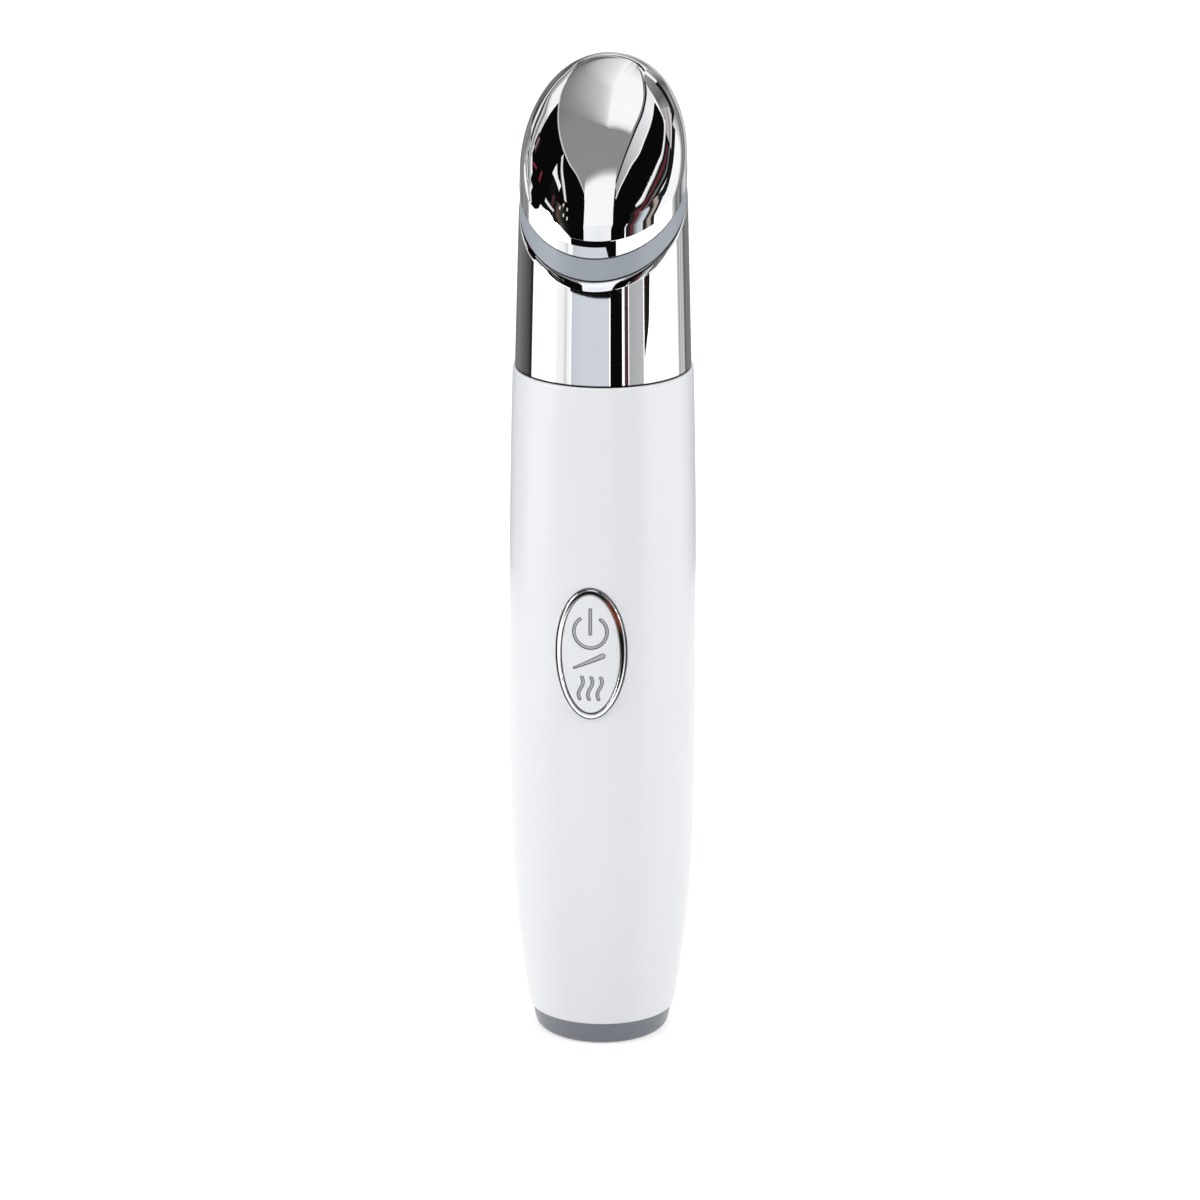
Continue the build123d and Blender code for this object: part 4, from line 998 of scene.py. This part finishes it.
canopy("band_right", [(41, 56.7), (46, 50), (53, 41.7), (57.5, 28.3), (58.8, 15), (59, 1.7),
        (56, -9)], [(46, 58), (52, 50), (57, 41.7), (61.5, 28.3), (65, 15), (65, 1.7), (60.5, -8)],
       [(0, 0.01), (0.36, 0.02), (0.46, RED), (0.53, RED), (0.64, 0.02), (1, 0.01)], False, 0.2995)
canopy("beyond_right", FLAG_EDGE, beside(FLAG_EDGE, 12),
       [(0, BLACK), (0.7, BLACK), (0.78, 0.25), (0.86, BLACK), (1, BLACK)], False, 0.3005)
canopy("flag_left", [(-60, 64), (-66, 48), (-71, 30), (-75, 12), (-75, -6), (-70, -20)],
       [(-24, 80), (-20.8, 54), *LEFT_EDGE[1:8]], BLACK, reach=0.302)
canopy("flag_left_low", [(-60, 62), (-44, 74), (-30, 84)], [(-21, 53), (-22, 65), (-26.7, 82)],
       BLACK, reach=0.301)
canopy("patch_left", [(-54, -20.8), (-51.8, -25.1), (-49.6, -28.4), (-47, -30.9)],
       [(-43.6, -20.8), (-41, -24.5), (-38.5, -27.5), (-36.3, -29.3)], 0.95, reach=0.294)
canopy("frame_left", [(-79, -5), (-74, -14), (-70, -20.5), (-60, -20.5), (-54, -20.8),
        (-49.6, -28.4), (-45, -31), (-38, -31.5), (-30.5, -35.2)],
       [(-82, -8), (-78, -20), (-73, -32), (-66, -40), (-59, -41), (-52, -39.5), (-45, -38.5),
        (-36, -38.5), (-27, -39.5)], [(0, 0.05), (0.06, 0.75), (0.14, 0.8), (0.2, 0.25),
        (0.3, 0.2), (0.36, 0.6), (0.46, 0.65), (0.52, 0.02), (0.64, 0.02), (0.7, 0.85),
        (0.82, 0.9), (0.88, 0.02), (1, 0.02)], False, 0.2965)
canopy("streak_left", [(-46.5, 20), (-48.5, 28), (-48, 38), (-47, 48)],
       [(-43.7, 20), (-45.7, 28), (-45, 38), (-44.3, 49)], [(0, 0.3), (0.5, 0.9), (1, 0.6)], False,
       0.294)
canopy("wedge_left", [(-57.5, 20.5), (-55, 28), (-52.3, 37)],
       [(-51.5, 20), (-52, 28), (-49.3, 36)], 0.9, reach=0.294)

# the dim room behind
canopy("room", [(-62, -36), (-60, -50), (-48, -66)], [(58, -28), (60, -44), (56, -60)],
       [(0, 0.08), (0.15, 0.2), (0.25, 0.08), (0.33, 0.35), (0.45, 0.55), (0.55, 0.4),
        (0.62, 0.25), (0.7, 0.4), (0.78, 0.12), (0.88, 0.35), (1, 0.15)], False, 0.31)
canopy("room_line", [(30, -27), (41, -26.5), (49, -25), (57, -17), (64, -7.5), (68.5, 3), (69, 12),
        (68, 17)], [(30, -30), (42, -29.5), (51.5, -28), (60.5, -19.5), (68, -9), (72, 3),
        (72.3, 12), (70.5, 17.5)], 0.01)
canopy("room_edge", [(21, -22), (34, -18.3), (45, -15.5)], [(20, -28), (36, -28), (50, -26)],
       [(0, 0.3), (0.6, 0.13), (1, (0.42, 0.37, 0.35))], reach=0.305)
canopy("room_stripes", [(42, -17.5), (50, -12.5), (56, -5), (59.5, 1)],
       [(46, -25.8), (55, -20.5), (62, -12.5), (66.5, -4.5)],
       [(0, 0.5), (0.15, 0.35), (0.3, (0.45, 0.39, 0.37)), (0.5, (0.6, 0.53, 0.5)), (0.62, 0.18),
        (0.72, 0.45), (0.86, 0.85), (1, 0.05)], False, 0.303)
BACK = [(-38, -32.5), (-30, -36), (-20, -37.8), (-10, -36.6), (1.7, -34.4), (11.7, -32.5),
        (19, -29)]
canopy("back_line", BACK, [(x * 1.03, y - 1.5) for x, y in BACK], 0.02, reach=0.297)
canopy("back_glow", BACK[1:], [(x * 1.1, y - 6) for x, y in BACK[1:]],
       [(0, 0.35), (0.4, 0.9), (1, 0.85)])

# level with the collar
standing("low_left", -180, -97.5, -0.01, 0.0765, [(0, 0.15), (0.5, 0.2), (0.7, 0.14), (0.9, 0.07),
          (0.96, 0.02), (1, 0.03)])
standing("low_panel", -34, 15, -0.01, 0.0746, [(0, (0.6, 0.63, 0.68)), (0.35, BLUISH),
          (1, BLUISH)])
standing("low_flag", 16.5, 31.5, -0.01, 0.0765, BLACK)
standing("low_notch", 16.5, 24, 0.0765, 0.087, BLACK)
standing("low_fade", -56, -35.5, -0.01, 0.0757, [(0, 1.0), (0.5, 0.93), (0.72, 0.66), (0.8, 0.95),
          (1, 1.0)])
standing("low_warm", 34.5, 39.5, -0.01, 0.078, [(0, 0.1), (0.35, 0.05), (0.6, (0.13, 0.02, 0.035)),
          (1, 0.01)])
standing("low_grey", 40.5, 60.5, -0.01, 0.0775, [(0, 0.42), (1, 0.5)])
pane("low_spike", [(61.5, 0.082), (61.5, 0.0745), (61.5, 0.0675), (61.5, 0.0635), (61.5, 0.0605)],
     [(71.5, 0.082), (70, 0.0745), (68.5, 0.0675), (65, 0.0635), (62, 0.0605)],
     [(0, (0.15, 0.05, 0.04)), (0.3, 0.01), (1, 0.015)], 0.249)
standing("low_slats", 121, 140, -0.01, 0.08, [(0, 0.75), (0.25, 0.3), (0.4, 0.75), (0.55, 0.3),
          (0.7, 0.75), (0.85, 0.35), (1, 0.6)])
standing("low_right", 140, 180, -0.01, 0.08, [(0, 0.08), (0.2, 0.2), (1, 0.22)])
standing("ledge", -36, 17, 0.0748, 0.09, BLACK, 0.249)

# level with the head
standing("tall_panel", -18, 16.5, 0.09, 0.2, [(0, 0.95), (0.5, (0.88, 0.9, 0.935)), (1, 0.95)])
standing("tall_black", -38, -18.3, 0.09, 0.235, BLACK)
pane("spark_streak", [(-70, 0.213), (-70, 0.221)], [(-56, 0.211), (-56, 0.216)], 0.8, 0.248)
pane("tall_brown", [(-60, 0.12), (-61, 0.17), (-63, 0.24)],
     [(-36, 0.09), (-36, 0.15), (-36, 0.24)], [(0, 0.01), (0.3, 0.01), (0.42, (0.1, 0.07, 0.05)),
      (0.6, 0.04), (0.72, 0.01), (1, BLACK)], 0.251)
for turn, height in ((-50, 0.226), (-46, 0.238), (-44, 0.215), (-40.5, 0.233), (-39, 0.212)):
    standing("spark_%d" % -turn, turn, turn + 1.6, height, height + 0.008, (0.8, 0.72, 0.6), 0.247)
pane("tall_left", [(-112, 0.102), (-106, 0.12), (-103, 0.15), (-100, 0.197)],
     [(-97, 0.102), (-90, 0.12), (-82, 0.15), (-74, 0.205)],
     [(0, 0.45), (0.15, 0.35), (0.25, 0.9), (0.31, 0.9), (0.35, BLACK), (1, BLACK)])
pane("tall_top", [(-97, 0.2), (-97, 0.255)], [(-18.3, 0.2), (-18.3, 0.255)], BLACK, 0.2515)
standing("tall_room_left", -180, -112, 0.0775, 0.218,
         [(0, 0.5), (0.2, 0.3), (0.45, 0.35), (0.6, 0.15), (0.75, 0.3), (0.9, 0.2), (1, 0.5)],
         0.252)
standing("warm_far", -108, -101, 0.235, 0.262, [(0, 0.01), (0.3, DARK_RED),
          (0.5, (0.3, 0.25, 0.26)), (0.7, DARK_RED), (1, 0.01)], 0.2488)
pane("warm_line", [(-101, 0.218), (-101, 0.222)], [(-92.5, 0.229), (-92.5, 0.234)], RED, 0.2488)
standing("warm_near", -86, -82.5, 0.226, 0.248, [(0, DARK_RED), (0.5, RED), (1, 0.01)], 0.2488)
standing("warm_low", -62, -57, 0.222, 0.246, [(0, 0.01), (0.5, DARK_RED), (1, 0.01)], 0.2488)
standing("tall_flag", 17, 35, 0.0885, 0.26, BLACK)
standing("tall_warm", 36.5, 50, 0.0885, 0.232, [(0, 0.02), (0.4, 0.015), (0.5, (0.2, 0.03, 0.045)),
          (0.65, DARK_RED), (0.8, 0.12), (1, 0.3)])
pane("warm_edge", [(44, 0.224), (44, 0.226)], [(66, 0.239), (66, 0.242)], (0.17, 0.03, 0.04),
     0.249)
standing("tall_light", 50, 60.5, 0.0885, 0.228, [(0, 0.3), (0.25, (0.5, 0.56, 0.6)),
          (0.8, (0.62, 0.68, 0.72)), (1, 0.55)])
standing("tall_dark", 60.5, 78, 0.0885, 0.235, [(0, 0.01), (0.25, 0.02), (0.4, (0.4, 0.32, 0.28)),
          (0.6, (0.45, 0.38, 0.34)), (0.72, 0.02), (1, 0.02)])
standing("tall_slats_right", 112, 140, 0.0805, 0.3, [(0, 0.8), (0.2, 0.4), (0.4, 0.15),
          (0.6, 0.35), (0.8, 0.08), (1, 0.35)])
standing("tall_room_right", 140, 180, 0.0805, 0.25, [(0, 0.35), (0.25, 0.7), (0.6, 0.4), (1, 0.5)])

world = bpy.data.worlds.new("studio")
bpy.context.scene.world = world
tree = Tree(world)
clear = tree.seen_by("Is Camera Ray", "Is Glossy Ray", "Is Transmission Ray")
level = tree.remap(clear, 0, 1, 0.55, 1.0)
tree.feed(tree.find("BACKGROUND"), {"Strength": level, "Color": (1, 1, 1)})


def direction(azimuth, elevation):
    """From the wand to a place in the studio, both in degrees; azimuth 0 is in front."""
    a, e = radians(azimuth), radians(elevation)
    return Vector((sin(a) * cos(e), -cos(a) * cos(e), sin(e)))


AIM = Vector((0, 0, 0.08))
for name, azimuth, elevation, distance, width, height, watts in (
    ("soft_left", -62, 12, 0.9, 0.16, 0.8, 4.6),
    ("soft_right", 68, 12, 0.9, 0.16, 0.8, 3.9),
    ("soft_top", 10, 75, 1.1, 0.8, 0.8, 2.2),
    ("soft_back", 180, 22, 1.1, 0.8, 0.8, 1.7),
):
    data = bpy.data.lights.new(name, "AREA")
    data.shape = "RECTANGLE"
    data.size, data.size_y, data.energy = width, height, watts
    light = add_object(name, data)
    back = direction(azimuth, elevation)
    light.location = AIM + back * distance
    light.rotation_mode = "QUATERNION"
    light.rotation_quaternion = (-back).to_track_quat("-Z", "Y")

AZIMUTH, ELEVATION, DISTANCE, ROLL = 7.5, 17.7, 1.0, 0.1
LOOK_AT, ASIDE = Vector((0, 0, 0.07169)), 0.000444
camera_data = bpy.data.cameras.new("camera")
camera_data.lens, camera_data.sensor_width = 189.0, 36
camera_data.clip_start, camera_data.clip_end = 0.05, 20
camera = add_object("camera", camera_data)
back = direction(AZIMUTH, ELEVATION)
right = Vector((cos(radians(AZIMUTH)), sin(radians(AZIMUTH)), 0))
camera.location = LOOK_AT + back * DISTANCE - right * ASIDE
camera.rotation_mode = "QUATERNION"
upright = (-back).to_track_quat("-Z", "Y")
camera.rotation_quaternion = upright @ Quaternion((0, 0, 1), radians(ROLL))
bpy.context.scene.camera = camera
bpy.context.scene.view_settings.view_transform = "Standard"
